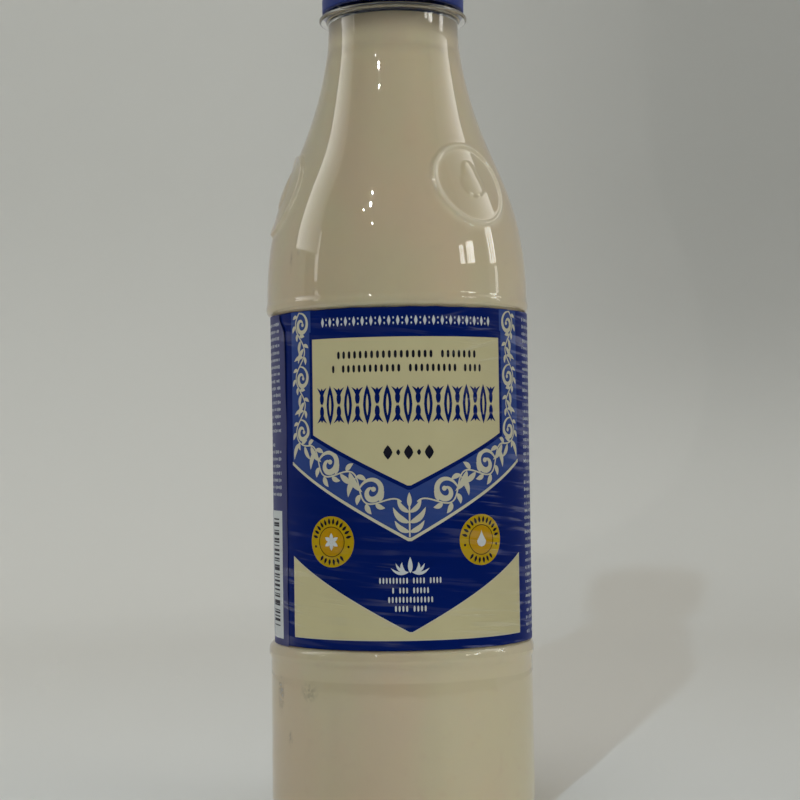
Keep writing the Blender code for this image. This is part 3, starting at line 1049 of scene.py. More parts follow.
@dataclass(frozen=True)
class Film:
    """The label's film: a sleeve with faint waves, and an end that lifts over the start at the seam."""

    radius: float = 36.95
    tight: float = 36.46
    slack: float = 1.20
    thickness: float = 0.04
    bottom: float = 51.0
    top: float = 143.8
    seam: float = -63.0
    flap_start: float = -104.0
    flap_lift: float = 0.28
    layer: float = 0.022

    def reach(self, turn: np.ndarray) -> np.ndarray:
        """The sleeve's radius over the azimuth: tight on the left, slack on the right, (1 + sin a) / 2 between."""
        return self.tight + self.slack * (0.5 + 0.5 * np.sin(turn))

    def arc(self, degrees: float) -> float:
        """Millimetres along the film for an azimuth."""
        return math.radians(degrees) * self.radius

    def waves(self, u: np.ndarray, v: np.ndarray) -> np.ndarray:
        """The film's height over the sleeve: long swells, and a few level creases on the right.

        Args:
            u: millimetres along the film.
            v: millimetres up it.

        Returns:
            The height in millimetres.
        """
        turn = u / self.radius
        swell = 0.022 * np.sin(2 * turn + 0.6) * np.sin(v * 0.055 + 1.1)
        swell += 0.012 * np.sin(5 * turn + v * 0.09) + 0.010 * np.sin(9 * turn - v * 0.05)
        creases = 0.0
        for line in RAISED_CREASES:
            up = bump(v - line.slope * (u - line.middle), line.height, line.width)
            creases = creases + line.strength * bump(u, line.middle, line.length) * up
        return swell + creases

    def flap(self, u: np.ndarray, v: np.ndarray) -> np.ndarray:
        """How far the free end lies over the film below, most at its edge and at its crumpled top corner.

        Args:
            u: millimetres along the film.
            v: millimetres up it.

        Returns:
            The height in millimetres.
        """
        start, seam = self.arc(self.flap_start), self.arc(self.seam)
        along = smooth(u, start, seam)
        edge = smooth(u, seam - 5.0, seam)
        corner = smooth(v, self.top - 9.0, self.top) * edge
        crumple = 0.10 * np.sin(u * 1.7 + v * 1.1) * corner
        loose = 0.09 * edge * (0.6 + 0.4 * np.sin(v * 0.21))
        head = self.flap_lift * smooth(v, self.top - 36.0, self.top)
        return 0.05 + 0.05 * along + head + loose + 0.12 * corner + crumple

    def surface(self, u: np.ndarray, v: np.ndarray, layer: float, on_flap: bool) -> np.ndarray:
        """The point (R sin a, -R cos a, v), where a = u / radius and R carries slack, waves, flap and layer.

        Args:
            u: millimetres along the film.
            v: millimetres up it.
            layer: how many ink layers lie under it.
            on_flap: True if it lies on the free end.

        Returns:
            The points in metres.
        """
        turn = u / self.radius
        height = self.waves(u, v) + layer * self.layer + (self.flap(u, v) if on_flap else 0.0)
        reach = (self.reach(turn) + height) * MM
        return np.stack((reach * np.sin(turn), -reach * np.cos(turn), v * MM + 0.0 * u), axis=-1)

    def laid(self, flat: np.ndarray, layer: float, on_flap: bool = False) -> tuple[np.ndarray, np.ndarray]:
        """Flat print laid on the film, with the film's own normals.

        Args:
            flat: points (..., 2) as (u, v) in millimetres.
            layer: how many ink layers lie under it.
            on_flap: True if it lies on the free end.

        Returns:
            The points and the normals, the cross product of small steps along u and v.
        """
        u, v = flat[..., 0], flat[..., 1]
        step = 0.05
        here = self.surface(u, v, layer, on_flap)
        aside = self.surface(u + step, v, layer, on_flap) - here
        above = self.surface(u, v + step, layer, on_flap) - here
        normal = np.cross(aside, above)
        return here, normal / np.linalg.norm(normal, axis=-1, keepdims=True)


@dataclass
class Print:
    """One sheet of ink shapes for each colour, all laid on the film."""

    film: Film
    prefix: str
    on_flap: bool = False
    limit: Callable[[np.ndarray], np.ndarray] | None = None
    sheets: dict[Ink, Patchwork] = field(default_factory=dict)

    def lay(self, ink: Ink, layer: float, flat: np.ndarray, wrap: bool = False) -> None:
        """Add grids (grids, rows, columns, 2) of flat print.

        Args:
            ink: the colour.
            layer: the ink layer.
            flat: the points in millimetres.
            wrap: True if the last column joins the first.
        """
        if ink not in self.sheets:
            self.sheets[ink] = Patchwork(f"{self.prefix}_{ink.value.name}")
        if self.limit:
            flat = self.limit(flat)
        self.sheets[ink].grids(*self.film.laid(flat, layer, self.on_flap), wrap=wrap)

    def columns(self, ink: Ink, layer: float, u: np.ndarray, low: np.ndarray, high: np.ndarray) -> None:
        """A field between two lines over u, in upright columns of points at most 0.55 mm apart.

        Args:
            ink: the colour.
            layer: the ink layer.
            u: the columns' places.
            low: the lower line's height at each.
            high: the upper line's.
        """
        rows = int(np.max(high - low) / 0.55) + 2
        share = np.linspace(1.0, 0.0, rows)[:, None]
        v = low + (high - low) * share
        self.lay(ink, layer, np.stack((np.broadcast_to(u, v.shape), v), axis=2)[None])

    def ribbon(self, ink: Ink, layer: float, path: np.ndarray, half: np.ndarray, across: int = 2) -> None:
        """A stroke along a path (n, 2) with a half width for each point, several points across if wide.

        Args:
            ink: the colour.
            layer: the ink layer.
            path: the points (n, 2).
            half: half the width at each.
            across: points across it.
        """
        left = square_to(path) * np.asarray(half)[:, None]
        share = np.linspace(1.0, -1.0, across)[:, None, None]
        self.lay(ink, layer, (path + left * share)[None])

    def leaf(
        self, ink: Ink, layer: float, base: np.ndarray, tip: np.ndarray, width: float, bend: float = 0.0
    ) -> None:
        """A leaf: a bent midrib and a half width of width sin(pi t^0.8)^0.9.

        Args:
            ink: the colour.
            layer: the ink layer.
            base: its foot.
            tip: its end.
            width: its greatest half width.
            bend: how far the midrib bends, as a share of its length.
        """
        t = np.linspace(0.0, 1.0, 11)
        run = np.asarray(tip) - np.asarray(base)
        across = np.array((-run[1], run[0]))
        path = np.asarray(base) + t[:, None] * run + (np.sin(math.pi * t) * bend)[:, None] * across
        self.ribbon(ink, layer, path, width * np.clip(np.sin(math.pi * t**0.8), 0.0, 1.0) ** 0.9 + 0.015)

    def lozenges(self, ink: Ink, layer: float, centres: np.ndarray, wide: float, high: float, belly: float) -> None:
        """Upright pointed marks round each centre: half width = wide (1 - |t|^belly), t from -1 to 1 up it.

        Args:
            ink: the colour.
            layer: the ink layer.
            centres: the middles (n, 2).
            wide: half their width.
            high: half their height.
            belly: how full they are.
        """
        t = np.array((1.0, 0.72, 0.4, 0.0, -0.4, -0.72, -1.0))
        half = wide * (1 - np.abs(t) ** belly) + 0.01
        side = np.array((-1.0, 1.0))
        shape = np.stack((half[:, None] * side, np.broadcast_to((t * high)[:, None], (7, 2))), axis=2)
        self.lay(ink, layer, np.asarray(centres)[:, None, None, :] + shape)

    def bars(self, ink: Ink, layer: float, centres: np.ndarray, wide: np.ndarray, high: np.ndarray) -> None:
        """Small upright rectangles of half width wide and half height high round each centre.

        Args:
            ink: the colour.
            layer: the ink layer.
            centres: the middles (n, 2).
            wide: half of each width.
            high: half of each height.
        """
        side = np.linspace(-1.0, 1.0, 3)
        rise = np.array((1.0, -1.0))
        across = np.broadcast_to(side[None, None] * np.asarray(wide)[:, None, None], (len(centres), 2, 3))
        up = np.broadcast_to(rise[None, :, None] * np.asarray(high)[:, None, None], (len(centres), 2, 3))
        self.lay(ink, layer, np.asarray(centres)[:, None, None, :] + np.stack((across, up), axis=3))

    def disc(self, ink: Ink, layer: float, centre: tuple[float, float], outer: float, inner: float = 0.0) -> None:
        """A round field, or a ring, as circles of points.

        Args:
            ink: the colour.
            layer: the ink layer.
            centre: its middle.
            outer: its radius.
            inner: the radius of its hole.
        """
        spokes = 56 if outer > 1.5 else 20
        a = np.linspace(0, FULL_TURN, spokes, endpoint=False)
        rings = max(2, int((outer - inner) / 1.2) + 1)
        radii = np.linspace(max(inner, 0.001), outer, rings)[:, None]
        flat = np.stack((centre[0] + radii * np.cos(a), centre[1] + radii * np.sin(a)), axis=2)
        self.lay(ink, layer, flat[None], wrap=True)

    def pieces(self, node: str, slot: str) -> None:
        """Make an object of each colour's sheet."""
        for ink, sheet in self.sheets.items():
            stands_for(sheet.finished(), node, ink.value.material())


@dataclass
class VineScroll:
    """A running vine of the old kind along a guide line, with curls and leafy stretches in turn.

    Places along it are an arc length s in millimetres and n half widths of its band to the left.
    """

    sheet: Print
    ink: Ink
    layer: float
    guide: np.ndarray
    half: np.ndarray
    pitch: float
    side: int
    swing: float = 0.50
    run: np.ndarray = field(init=False)
    along: np.ndarray = field(init=False)

    def __post_init__(self) -> None:
        """Measure the guide and its directions."""
        self.run = np.concatenate(([0.0], np.cumsum(np.linalg.norm(np.diff(self.guide, axis=0), axis=1))))
        along = np.gradient(self.guide, self.run, axis=0)
        self.along = along / np.linalg.norm(along, axis=1)[:, None]

    def at(self, s: np.ndarray, n: np.ndarray) -> np.ndarray:
        """The flat points at arc lengths s and n half widths aside: guide + n half (-t_v, t_u).

        Args:
            s: the arc lengths.
            n: the half widths aside.

        Returns:
            The points (n, 2).
        """
        guide, along, half = (
            np.column_stack([np.interp(s, self.run, part) for part in table.T])
            for table in (self.guide, self.along, self.half[:, None])
        )
        return guide + np.column_stack((-along[:, 1], along[:, 0])) * half * np.asarray(n)[:, None]

    def stem_at(self, s: np.ndarray) -> np.ndarray:
        """The stem's n over s: side swing sin(pi s / pitch)."""
        return self.side * self.swing * np.sin(math.pi * np.asarray(s) / self.pitch)

    def draw(self) -> None:
        """The stem, then a curl in every second half wave and leaves in the others."""
        s = np.linspace(0.0, self.run[-1], int(self.run[-1] / 0.35))
        self.sheet.ribbon(self.ink, self.layer, self.at(s, self.stem_at(s)), np.full(len(s), 0.21))
        for k in range(int(self.run[-1] / self.pitch)):
            side = self.side * (-1) ** k
            if k % 2 == 0:
                self.curl(k, side)
                outer = ((0.16, 0.62, 0.13), (0.50, 0.66, 0.14), (0.80, 0.60, 0.13))
                self.leaves(k, side, outer, ((0.93, 0.62, 0.15),))
            else:
                inner = ((0.06, 1.05, 0.15), (0.36, 1.30, 0.17), (0.70, 1.15, 0.15))
                self.leaves(k, side, ((0.24, 0.62, 0.13), (0.66, 0.66, 0.13)), inner)

    def curl(self, k: int, side: int) -> None:
        """The curl in half wave k: an ellipse's angle run on 1.3 turns while its size falls as 1 - 0.8 t^0.8.

        Args:
            k: the half wave.
            side: the side to which the stem swings there.
        """
        middle = self.pitch * (k + 0.5)
        size = float(np.interp(middle, self.run, self.half))
        t = np.linspace(0.0, 1.0, 44)
        a = math.pi - side * 0.30 + side * FULL_TURN * 1.30 * t
        r = 1.04 * (1 - 0.80 * t**0.8)
        wide = min(0.48 * self.pitch, 0.86 * size)
        path = self.at(middle + r * np.cos(a) * wide, -0.16 * side + 0.78 * r * np.sin(a))
        half = size * (0.03 + 0.125 * np.sin(math.pi * np.clip(t * 1.04 + 0.01, 0, 1)) ** 0.9)
        self.sheet.ribbon(self.ink, self.layer + 0.2, path, half)
        self.sheet.disc(self.ink, self.layer + 0.4, tuple(path[-1]), size * 0.13)

    def leaves(self, k: int, side: int, outer: Sequence[tuple], inner: Sequence[tuple]) -> None:
        """Leaves of half wave k.

        Args:
            k: the half wave.
            side: the side to which the stem swings there.
            outer: (place in the half wave, length, half width) of each leaf beyond the stem.
            inner: the same for the leaves on the other side; lengths are in half widths of the band.
        """
        for group, way, turn in ((outer, side, 0.62), (inner, -side, 0.85)):
            for i, (share, length, width) in enumerate(group):
                s = self.pitch * (k + share)
                ends = self.at(np.array((s, s + 0.2)), self.stem_at((s, s + 0.2)))
                ahead = (ends[1] - ends[0]) / np.linalg.norm(ends[1] - ends[0])
                size = float(np.interp(s, self.run, self.half))
                lean = turn * way
                tip = ahead @ np.array(((math.cos(lean), math.sin(lean)), (-math.sin(lean), math.cos(lean))))
                layer = self.layer + 0.5 + 0.08 * i + (0.3 if way != side else 0.0)
                foot, end = ends[0] + tip * 0.25, ends[0] + tip * size * length
                self.sheet.leaf(self.ink, layer, foot, end, size * width, 0.10 * way)


@dataclass(frozen=True)
class MarkRow:
    """A line of small grains: its height, half its width, the grains of each group, half a grain's height."""

    v: float
    half: float
    groups: tuple[int, ...]
    high: float


@dataclass
class WrapLabel:
    """The wrap-round label: printed film, its front panel, its back panel and its loose end."""

    film: Film = field(default_factory=Film)
    panel: float = 37.26
    strip_inner: float = 29.2
    shield_half: float = 28.22
    shield_top: float = 135.65
    shield_corner: float = 109.4
    shield_tip: float = 95.2
    outline: float = 1.05
    band_corner: float = 101.3
    band_tip: float = 80.2
    band_edge: float = 0.92
    field_corner: float = 76.1
    field_tip: float = 55.8
    field_bottom: float = 53.7
    badge_across: float = 21.6
    badge_height: float = 80.2
    badge_radius: float = 6.95
    badge_shift: float = -0.75
    header_height: float = 140.1
    header_half: float = 24.4
    frieze_height: float = 117.4
    frieze_half: float = 24.9
    frieze_high: float = 5.4
    frieze_seeds: int = 9
    small_mark_height: float = 104.4
    vine_pitch: float = 7.4
    shield_rows: tuple[MarkRow, ...] = (
        MarkRow(130.95, 19.3, (17, 7), 1.1),
        MarkRow(127.2, 21.0, (1, 11, 9, 4), 1.1),
    )
    lower_rows: tuple[MarkRow, ...] = (
        MarkRow(69.85, 8.2, (9, 4, 4), 0.85),
        MarkRow(67.2, 4.7, (1, 3, 5), 0.85),
        MarkRow(64.7, 5.8, (13,), 0.85),
        MarkRow(62.3, 4.0, (4, 4), 0.85),
    )

    def sleeve(self) -> None:
        """The film itself, a closed thin sleeve in deep blue."""
        film = self.film
        u = np.linspace(-math.pi, math.pi, 360, endpoint=False) * film.radius
        v = np.linspace(film.top, film.bottom, 160)[:, None] + np.zeros_like(u)
        v[0] += 0.06 * np.sin(u * 0.31) + 0.04 * np.sin(u * 0.83 + 1.0)
        outer = film.surface(u[None] + np.zeros_like(v), v, 0.0, False)
        turn = u / film.radius
        within = (film.reach(turn) - film.thickness) * MM
        back = [np.stack((within * np.sin(turn), -within * np.cos(turn), row * MM), axis=1) for row in (v[-1], v[0])]
        work = Patchwork("label_film")
        work.grid(np.concatenate((outer, np.stack(back), outer[:1])), wrap=True)
        stands_for(work.finished(merge=TOUCHING), "label", Ink.DEEP.value.material())

    def front(self) -> None:
        """The front panel's fields of colour and ornament."""
        sheet = Print(self.film, "print")
        self.band(sheet)
        self.shield(sheet)
        self.lower_fields(sheet)
        self.header(sheet)
        self.shield_marks(sheet)
        self.badges(sheet)
        self.lower_marks(sheet)
        self.back(sheet)
        sheet.pieces("label", "label_film")

    def band_low(self, u: np.ndarray) -> np.ndarray:
        """The violet band's lower edge."""
        return self.shield_low(u, self.panel, self.band_tip, self.band_corner)

    def shield_low(self, u: np.ndarray, half: float, tip: float, corner: float) -> np.ndarray:
        """A shield's lower edge, from the tip up to its corners."""
        return tip + (corner - tip) * np.abs(u) / half

    def band(self, sheet: Print) -> None:
        """The violet band down both sides and round the shield's point, with its cream edge line.

        Args:
            sheet: the print to add to.
        """
        wide = np.linspace(-self.panel, self.panel, 80)
        side = np.linspace(self.strip_inner - 0.4, self.panel, 10)
        middle = np.linspace(-self.strip_inner + 0.3, self.strip_inner - 0.3, 64)
        for u in (side, -side[::-1]):
            sheet.columns(Ink.VIOLET, 1, u, self.band_low(u), np.full_like(u, self.film.top - 0.12))
        rise = self.shield_low(middle, self.shield_half, self.shield_tip, self.shield_corner)
        sheet.columns(Ink.VIOLET, 1, middle, self.band_low(middle), rise)
        sheet.columns(Ink.VINE, 3, wide, self.band_low(wide), self.band_low(wide) + self.band_edge)

    def shield(self, sheet: Print) -> None:
        """The cream shield inside its deep blue outline.

        Args:
            sheet: the print to add to.
        """
        grow, slope = self.outline, (self.shield_corner - self.shield_tip) / self.shield_half
        half = self.shield_half + grow
        drop = grow * math.hypot(1.0, slope)
        u = np.linspace(-half, half, 64)
        low = self.shield_tip - drop + slope * np.abs(u)
        sheet.columns(Ink.DEEP, 3, u, low, np.full_like(u, self.shield_top + 2.0))
        u = np.linspace(-self.shield_half, self.shield_half, 64)
        low = self.shield_low(u, self.shield_half, self.shield_tip, self.shield_corner)
        sheet.columns(Ink.CREAM, 4, u, low, np.full_like(u, self.shield_top))

    def lower_fields(self, sheet: Print) -> None:
        """The cream field under the lower blue point, inside a paler edge line.

        Args:
            sheet: the print to add to.
        """
        for ink, layer, aside, above, below in ((Ink.VINE, 1, 0.0, 0.0, 0.0), (Ink.CREAM, 2, 0.28, 0.24, 0.36)):
            u = np.linspace(-self.panel + aside, self.panel - aside, 90)
            high = self.shield_low(u, self.panel, self.field_tip, self.field_corner) - below
            sheet.columns(ink, layer, u, np.full_like(u, self.field_bottom + above), high)

    def header(self, sheet: Print) -> None:
        """A row of small lozenges and dots across the head.

        Args:
            sheet: the print to add to.
        """
        v = self.header_height
        u = np.linspace(-self.header_half, self.header_half, 21)
        sheet.lozenges(Ink.PALE, 2, level_row(u, v), 0.46, 1.35, 1.4)
        between = (u[1:] + u[:-1]) / 2
        ends = level_row(between, v)
        sheet.lozenges(Ink.PALE, 2, ends + (0.0, 0.72), 0.22, 0.36, 1.6)
        sheet.lozenges(Ink.PALE, 2, ends - (0.0, 0.72), 0.22, 0.36, 1.6)

    def row_of_marks(self, sheet: Print, ink: Ink, layer: float, row: MarkRow) -> None:
        """A line of small upright grains in groups, spread over a width.

        Args:
            sheet: the print to add to.
            ink: the colour.
            layer: the ink layer.
            row: the line's place and grains.
        """
        groups = row.groups
        pitch = 2 * row.half / (sum(groups) + len(groups) - 2)
        taken = np.concatenate([np.arange(n) + sum(groups[:i]) + i for i, n in enumerate(groups)])
        u = -row.half + taken * pitch
        sheet.lozenges(ink, layer, level_row(u, row.v), pitch * 0.24, row.high, 5.0)

    def shield_marks(self, sheet: Print) -> None:
        """What stands on the shield: two fine rows, a bold frieze and a small mark.

        Args:
            sheet: the print to add to.
        """
        for row in self.shield_rows:
            self.row_of_marks(sheet, Ink.DARK, 5, row)
        self.frieze(sheet, self.frieze_height, self.frieze_half, self.frieze_high, self.frieze_seeds)
        for u, wide, high, belly in (((-5.6, 0.0, 5.6), 1.25, 1.95, 1.5), ((-2.8, 2.8), 0.55, 0.85, 1.6)):
            sheet.lozenges(Ink.DARK, 5, level_row(np.array(u), self.small_mark_height), wide, high, belly)

    def frieze(self, sheet: Print, v: float, half: float, high: float, number: int) -> None:
        """A row of bold pointed seeds with open hearts, and a cross of leaves with two grains in each gap.

        Args:
            sheet: the print to add to.
            v: the row's middle.
            half: half its width.
            high: half its height.
            number: how many seeds.
        """
        pitch = 2 * half / number
        u = -half + pitch * (np.arange(number) + 0.5)
        seeds = level_row(u, v)
        sheet.lozenges(Ink.DEEP, 5, seeds, 1.18, high, 1.9)
        sheet.lozenges(Ink.CREAM, 6, seeds, 0.36, high * 0.55, 2.0)
        gaps = -half + pitch * np.arange(number + 1)
        for u in gaps:
            for layer, side, rise in ((5.2, -1, -1), (5.3, 1, -1), (5.4, -1, 1), (5.5, 1, 1)):
                foot = np.array((u - side * 0.15, v + rise * 0.1))
                tip = np.array((u + side * pitch * 0.30, v + rise * high * 0.90))
                sheet.leaf(Ink.DEEP, layer, foot, tip, 0.50, 0.16 * side * rise)
        for rise in (-1, 1):
            spots = level_row(gaps, v + rise * high * 0.72)
            sheet.lozenges(Ink.DEEP, 5.6, spots, 0.42, 0.80, 1.6)

    def badges(self, sheet: Print) -> None:
        """Two round seals in yellow and orange, with a flower in one and a drop in the other.

        Args:
            sheet: the print to add to.
        """
        for side in (-1, 1):
            middle = (side * self.badge_across + self.badge_shift, self.badge_height + 0.1)
            sheet.disc(Ink.YELLOW, 1, middle, self.badge_radius)
            sheet.disc(Ink.BROWN, 3, middle, 4.16, 3.92)
            sheet.disc(Ink.ORANGE, 3, middle, 3.72)
            self.seal_ring(sheet, middle)
            if side < 0:
                for k in range(6):
                    a = FULL_TURN * (k + 0.5) / 6
                    way = np.array((math.cos(a), math.sin(a)))
                    sheet.leaf(Ink.PALE, 4, middle + 0.35 * way, middle + 2.35 * way, 0.55)
                sheet.disc(Ink.PALE, 4.5, middle, 0.5)
            else:
                self.drop(sheet, middle)

    def drop(self, sheet: Print, middle: tuple[float, float]) -> None:
        """A drop: half width 1.5 sqrt(1 - s^2) below its belly, tapering to a point above.

        Args:
            sheet: the print to add to.
            middle: the seal's middle.
        """
        t = np.linspace(0.0, 1.0, 21)
        v = middle[1] - 1.9 + 4.5 * t
        round_part = np.sqrt(np.clip(1 - ((t - 0.36) / 0.36) ** 2, 0.0, 1.0))
        point = np.clip(1 - (t - 0.36) / 0.64, 0.0, 1.0) ** 1.35
        half = 1.5 * np.where(t < 0.36, round_part, point) + 0.01
        sheet.ribbon(Ink.PALE, 4, np.column_stack((np.full_like(v, middle[0]), v)), half, 9)

    def seal_ring(self, sheet: Print, middle: tuple[float, float]) -> None:
        """Small dark grains round the seal, in an upper and a lower arc with a dot between them.

        Args:
            sheet: the print to add to.
            middle: the seal's middle.
        """
        for start, end, number in ((166.0, 14.0, 12), (-126.0, -54.0, 6)):
            for a in np.radians(np.linspace(start, end, number)):
                way = np.array((math.cos(a), math.sin(a)))
                sheet.leaf(Ink.DARK, 3, middle + 4.7 * way, middle + 6.45 * way, 0.38)
        for a in np.radians((194.0, -14.0)):
            spot = (middle[0] + 5.5 * math.cos(a), middle[1] + 5.5 * math.sin(a))
            sheet.disc(Ink.DARK, 3, spot, 0.36)

    def lower_marks(self, sheet: Print) -> None:
        """A small sprig over four short rows in the blue point.

        Args:
            sheet: the print to add to.
        """
        for side in (-1, 1):
            for k, (out, up) in enumerate(((5.2, 0.6), (3.9, 1.9), (2.2, 2.2))):
                foot = np.array((side * (0.4 + 0.5 * k), 72.2))
                sheet.leaf(Ink.PALE, 2 + 0.25 * k, foot, np.array((side * out, 72.6 + up)), 0.42, -0.18 * side)
        sheet.leaf(Ink.PALE, 3, np.array((0.0, 71.9)), np.array((0.0, 76.2)), 0.62)
        for row in self.lower_rows:
            self.row_of_marks(sheet, Ink.PALE, 2, row)

    def within_band(self, flat: np.ndarray) -> np.ndarray:
        """Points (..., 2) moved to the nearest place inside the violet band.

        Beside the shield u is kept between the strip's edges. Under it v is kept between the band's
        edge line and the shield's outline.

        Args:
            flat: the points.

        Returns:
            The moved points.
        """
        u, v = np.clip(flat[..., 0], -self.panel + 0.15, self.panel - 0.15), flat[..., 1]
        slope = (self.shield_corner - self.shield_tip) / self.shield_half
        grow = self.outline * math.hypot(1.0, slope) + 0.2
        line = self.shield_tip - grow + slope * np.abs(u)
        beside = v > self.shield_tip - grow + slope * self.strip_inner
        u = np.where(beside, np.sign(u) * np.maximum(np.abs(u), self.strip_inner + 0.15), u)
        under = np.abs(u) < self.strip_inner + 0.1
        v = np.where(under, np.minimum(v, line), v)
        v = np.clip(v, self.band_low(u) + self.band_edge + 0.2, self.film.top - 0.35)
        return np.stack((u, v), axis=-1)

    def vines(self) -> None:
        """The vine down each strip and along the band to its point."""
        sheet = Print(self.film, "vine", limit=self.within_band)
        strip = (self.strip_inner + self.panel) / 2
        guide = refined(rounded([(strip, 143.6, 0.0), (strip, 106.4, 6.0), (3.4, 88.9, 0.0)], 12), 0.5)
        run = np.concatenate(([0.0], np.cumsum(np.linalg.norm(np.diff(guide, axis=0), axis=1))))
        half = 3.85 + 1.35 * smooth(run, 30.0, 48.0)
        for side in (-1, 1):
            VineScroll(sheet, Ink.VINE, 2, guide * (side, 1), half, self.vine_pitch, side).draw()
            corner = np.array(((34.2, 107.2), (36.4, 102.8)))
            sheet.leaf(Ink.VINE, 3.4, corner[0] * (side, 1), corner[1] * (side, 1), 0.72, 0.10 * side)
        self.point_ornament(sheet)
        sheet.pieces("label", "label_film")

    def point_ornament(self, sheet: Print) -> None:
        """An upright palmette that fills the band's point between the two vines.

        Args:
            sheet: the print to add to.
        """
        stem = np.column_stack((np.zeros(12), np.linspace(81.6, 93.2, 12)))
        sheet.ribbon(Ink.VINE, 2.2, stem, np.full(12, 0.22))
        for side in (-1, 1):
            leaves = ((82.9, 4.0, 86.0, 0.72), (85.4, 4.4, 89.6, 0.80), (88.2, 3.2, 91.9, 0.66))
            for k, (foot, out, up, width) in enumerate(leaves):
                tip = np.array((side * out, up))
                sheet.leaf(Ink.VINE, 2.5 + 0.1 * k, np.array((0.0, foot)), tip, width, -0.14 * side)
        sheet.leaf(Ink.VINE, 2.9, np.array((0.0, 89.6)), np.array((0.0, 93.6)), 0.62)

    def back(self, sheet: Print) -> None:
        """The back: columns of fine rows, a ruled box and a round seal of leaves, all without words.

        Args:
            sheet: the print to add to.
        """
        for start, end, low, high, seed in ((65.5, 122.0, 53.0, 141.5, 1), (196.0, 252.0, 66.0, 141.5, 2)):
            self.fine_rows(sheet, Ink.FINE, start, end, low, high, seed)
        self.ruled_box(sheet, 131.0, 187.0, 98.0, 140.0)
        middle = (self.film.arc(159.0), 74.0)
        sheet.disc(Ink.PALE, 1, middle, 13.0, 12.6)
        sheet.disc(Ink.PALE, 1, middle, 11.9, 11.7)
        for k in range(16):
            a = FULL_TURN * k / 16
            way = np.array((math.cos(a), math.sin(a)))
            sheet.leaf(Ink.PALE, 1.5, middle + 6.6 * way, middle + 11.0 * way, 0.55, 0.12)
            sheet.leaf(Ink.VIOLET, 1.75, middle + 2.2 * way, middle + 6.2 * way, 0.6, -0.10)
        sheet.disc(Ink.PALE, 2, middle, 1.4)

    def fine_rows(
        self, sheet: Print, ink: Ink, start: float, end: float, low: float, high: float, seed: int
    ) -> None:
        """Rows of tiny upright bars in uneven groups, by a seeded draw.

        Args:
            sheet: the print to add to.
            ink: the colour.
            start: the block's left azimuth in degrees.
            end: its right azimuth.
            low: its bottom.
            high: its top.
            seed: for the draw.
        """
        draw = np.random.default_rng(seed)
        left, right = self.film.arc(start), self.film.arc(end)
        rows = np.arange(high, low, -2.0)
        pitch = 0.56
        u = np.arange(left, right, pitch)
        spots = np.stack(np.meshgrid(u, rows), axis=2)
        keep = draw.random(spots.shape[:2]) > 0.16
        short = draw.random(len(rows)) < 0.18
        ends = left + (right - left) * draw.uniform(0.45, 0.85, len(rows))
        keep &= ~(short[:, None] & (u > ends[:, None]))
        spots = spots[keep]
        wide = draw.uniform(0.12, 0.20, len(spots))
        tall = draw.choice((0.34, 0.34, 0.50), len(spots))
        sheet.bars(ink, 1, spots, wide, tall)

    def ruled_box(self, sheet: Print, start: float, end: float, low: float, high: float) -> None:
        """A box of ruled lines with a short row of bars in each space.

        Args:
            sheet: the print to add to.
            start: its left azimuth in degrees.
            end: its right azimuth.
            low: its bottom.
            high: its top.
        """
        left, right = self.film.arc(start), self.film.arc(end)
        levels = np.linspace(low, high, 9)
        u = np.linspace(left, right, 40)
        for level in levels:
            sheet.ribbon(Ink.PALE, 1, level_row(u, level), np.full(40, 0.12))
        v = np.linspace(low, high, 20)
        for across in (left, left + (right - left) * 0.62, right):
            sheet.ribbon(Ink.PALE, 1.25, np.column_stack((np.full_like(v, across), v)), np.full(20, 0.12))
        for k in range(8):
            middle = (levels[k] + levels[k + 1]) / 2
            number = 9 + (k * 5) % 8
            spots = level_row(left + 1.6 + 1.15 * np.arange(number), middle)
            sheet.bars(Ink.PALE, 1, spots, np.full(number, 0.36), np.full(number, 0.62))
            number = 4 + k % 3
            spots = level_row(right - 1.6 - 1.15 * np.arange(number), middle)
            sheet.bars(Ink.PALE, 1, spots, np.full(number, 0.36), np.full(number, 0.62))

    def flap(self) -> None:
        """The film's loose end over the seam: grey-blue, with pale rows and a white block of bars."""
        film = self.film
        start, seam = film.arc(film.flap_start), film.arc(film.seam)
        v = np.linspace(film.top - 0.05, film.bottom - 0.28, 150)
        edge = seam - 3.2 * smooth(v, film.top - 7.5, film.top - 1.0) ** 2 + 0.10 * np.sin(v * 0.35)
        share = np.linspace(0.0, 1.0, 44)
        u = start + (edge[:, None] - start) * share
        flat = np.stack((u, np.broadcast_to(v[:, None], u.shape)), axis=2)
        top = 0.35 * smooth(u, seam - 9.0, seam) * smooth(v[:, None], film.top - 4, film.top)
        flat[..., 1] -= top * (1 + 0.8 * np.sin(u * 2.1))
        sheet = Print(film, "flap", on_flap=True)
        sheet.lay(Ink.GREY_BLUE, 0, flat[None])
        self.flap_marks(sheet)
        sheet.pieces("label", "label_film")

    def flap_marks(self, sheet: Print) -> None:
        """Pale rows above, and a white block with dark level bars below.

        Args:
            sheet: the print to add to.
        """
        film = self.film
        self.fine_rows(sheet, Ink.FINE, -103.0, -69.0, 92.0, 141.0, 3)
        left, right = film.arc(-85.0), film.arc(-68.5)
        u = np.linspace(left, right, 12)
        sheet.columns(Ink.PALE, 1, u, np.full_like(u, 52.6), np.full_like(u, 88.4))
        bars = np.arange(34)
        steps = np.cumsum(1.0 + 0.55 * np.sin(bars * 2.3) + 0.25 * np.cos(bars * 5.1))
        v = 55.0 + steps / steps[-1] * 31.0
        thick = 0.16 + 0.15 * (bars * 7 % 5) / 4
        for level, half in zip(v, thick, strict=True):
            path = level_row(np.linspace(left + 1.4, right - 2.6, 8), level)
            sheet.ribbon(Ink.DARK, 2, path, np.full(8, half))

    def build(self) -> None:
        """Sleeve, print and loose end."""
        self.sleeve()
        self.front()
        self.vines()
        self.flap()


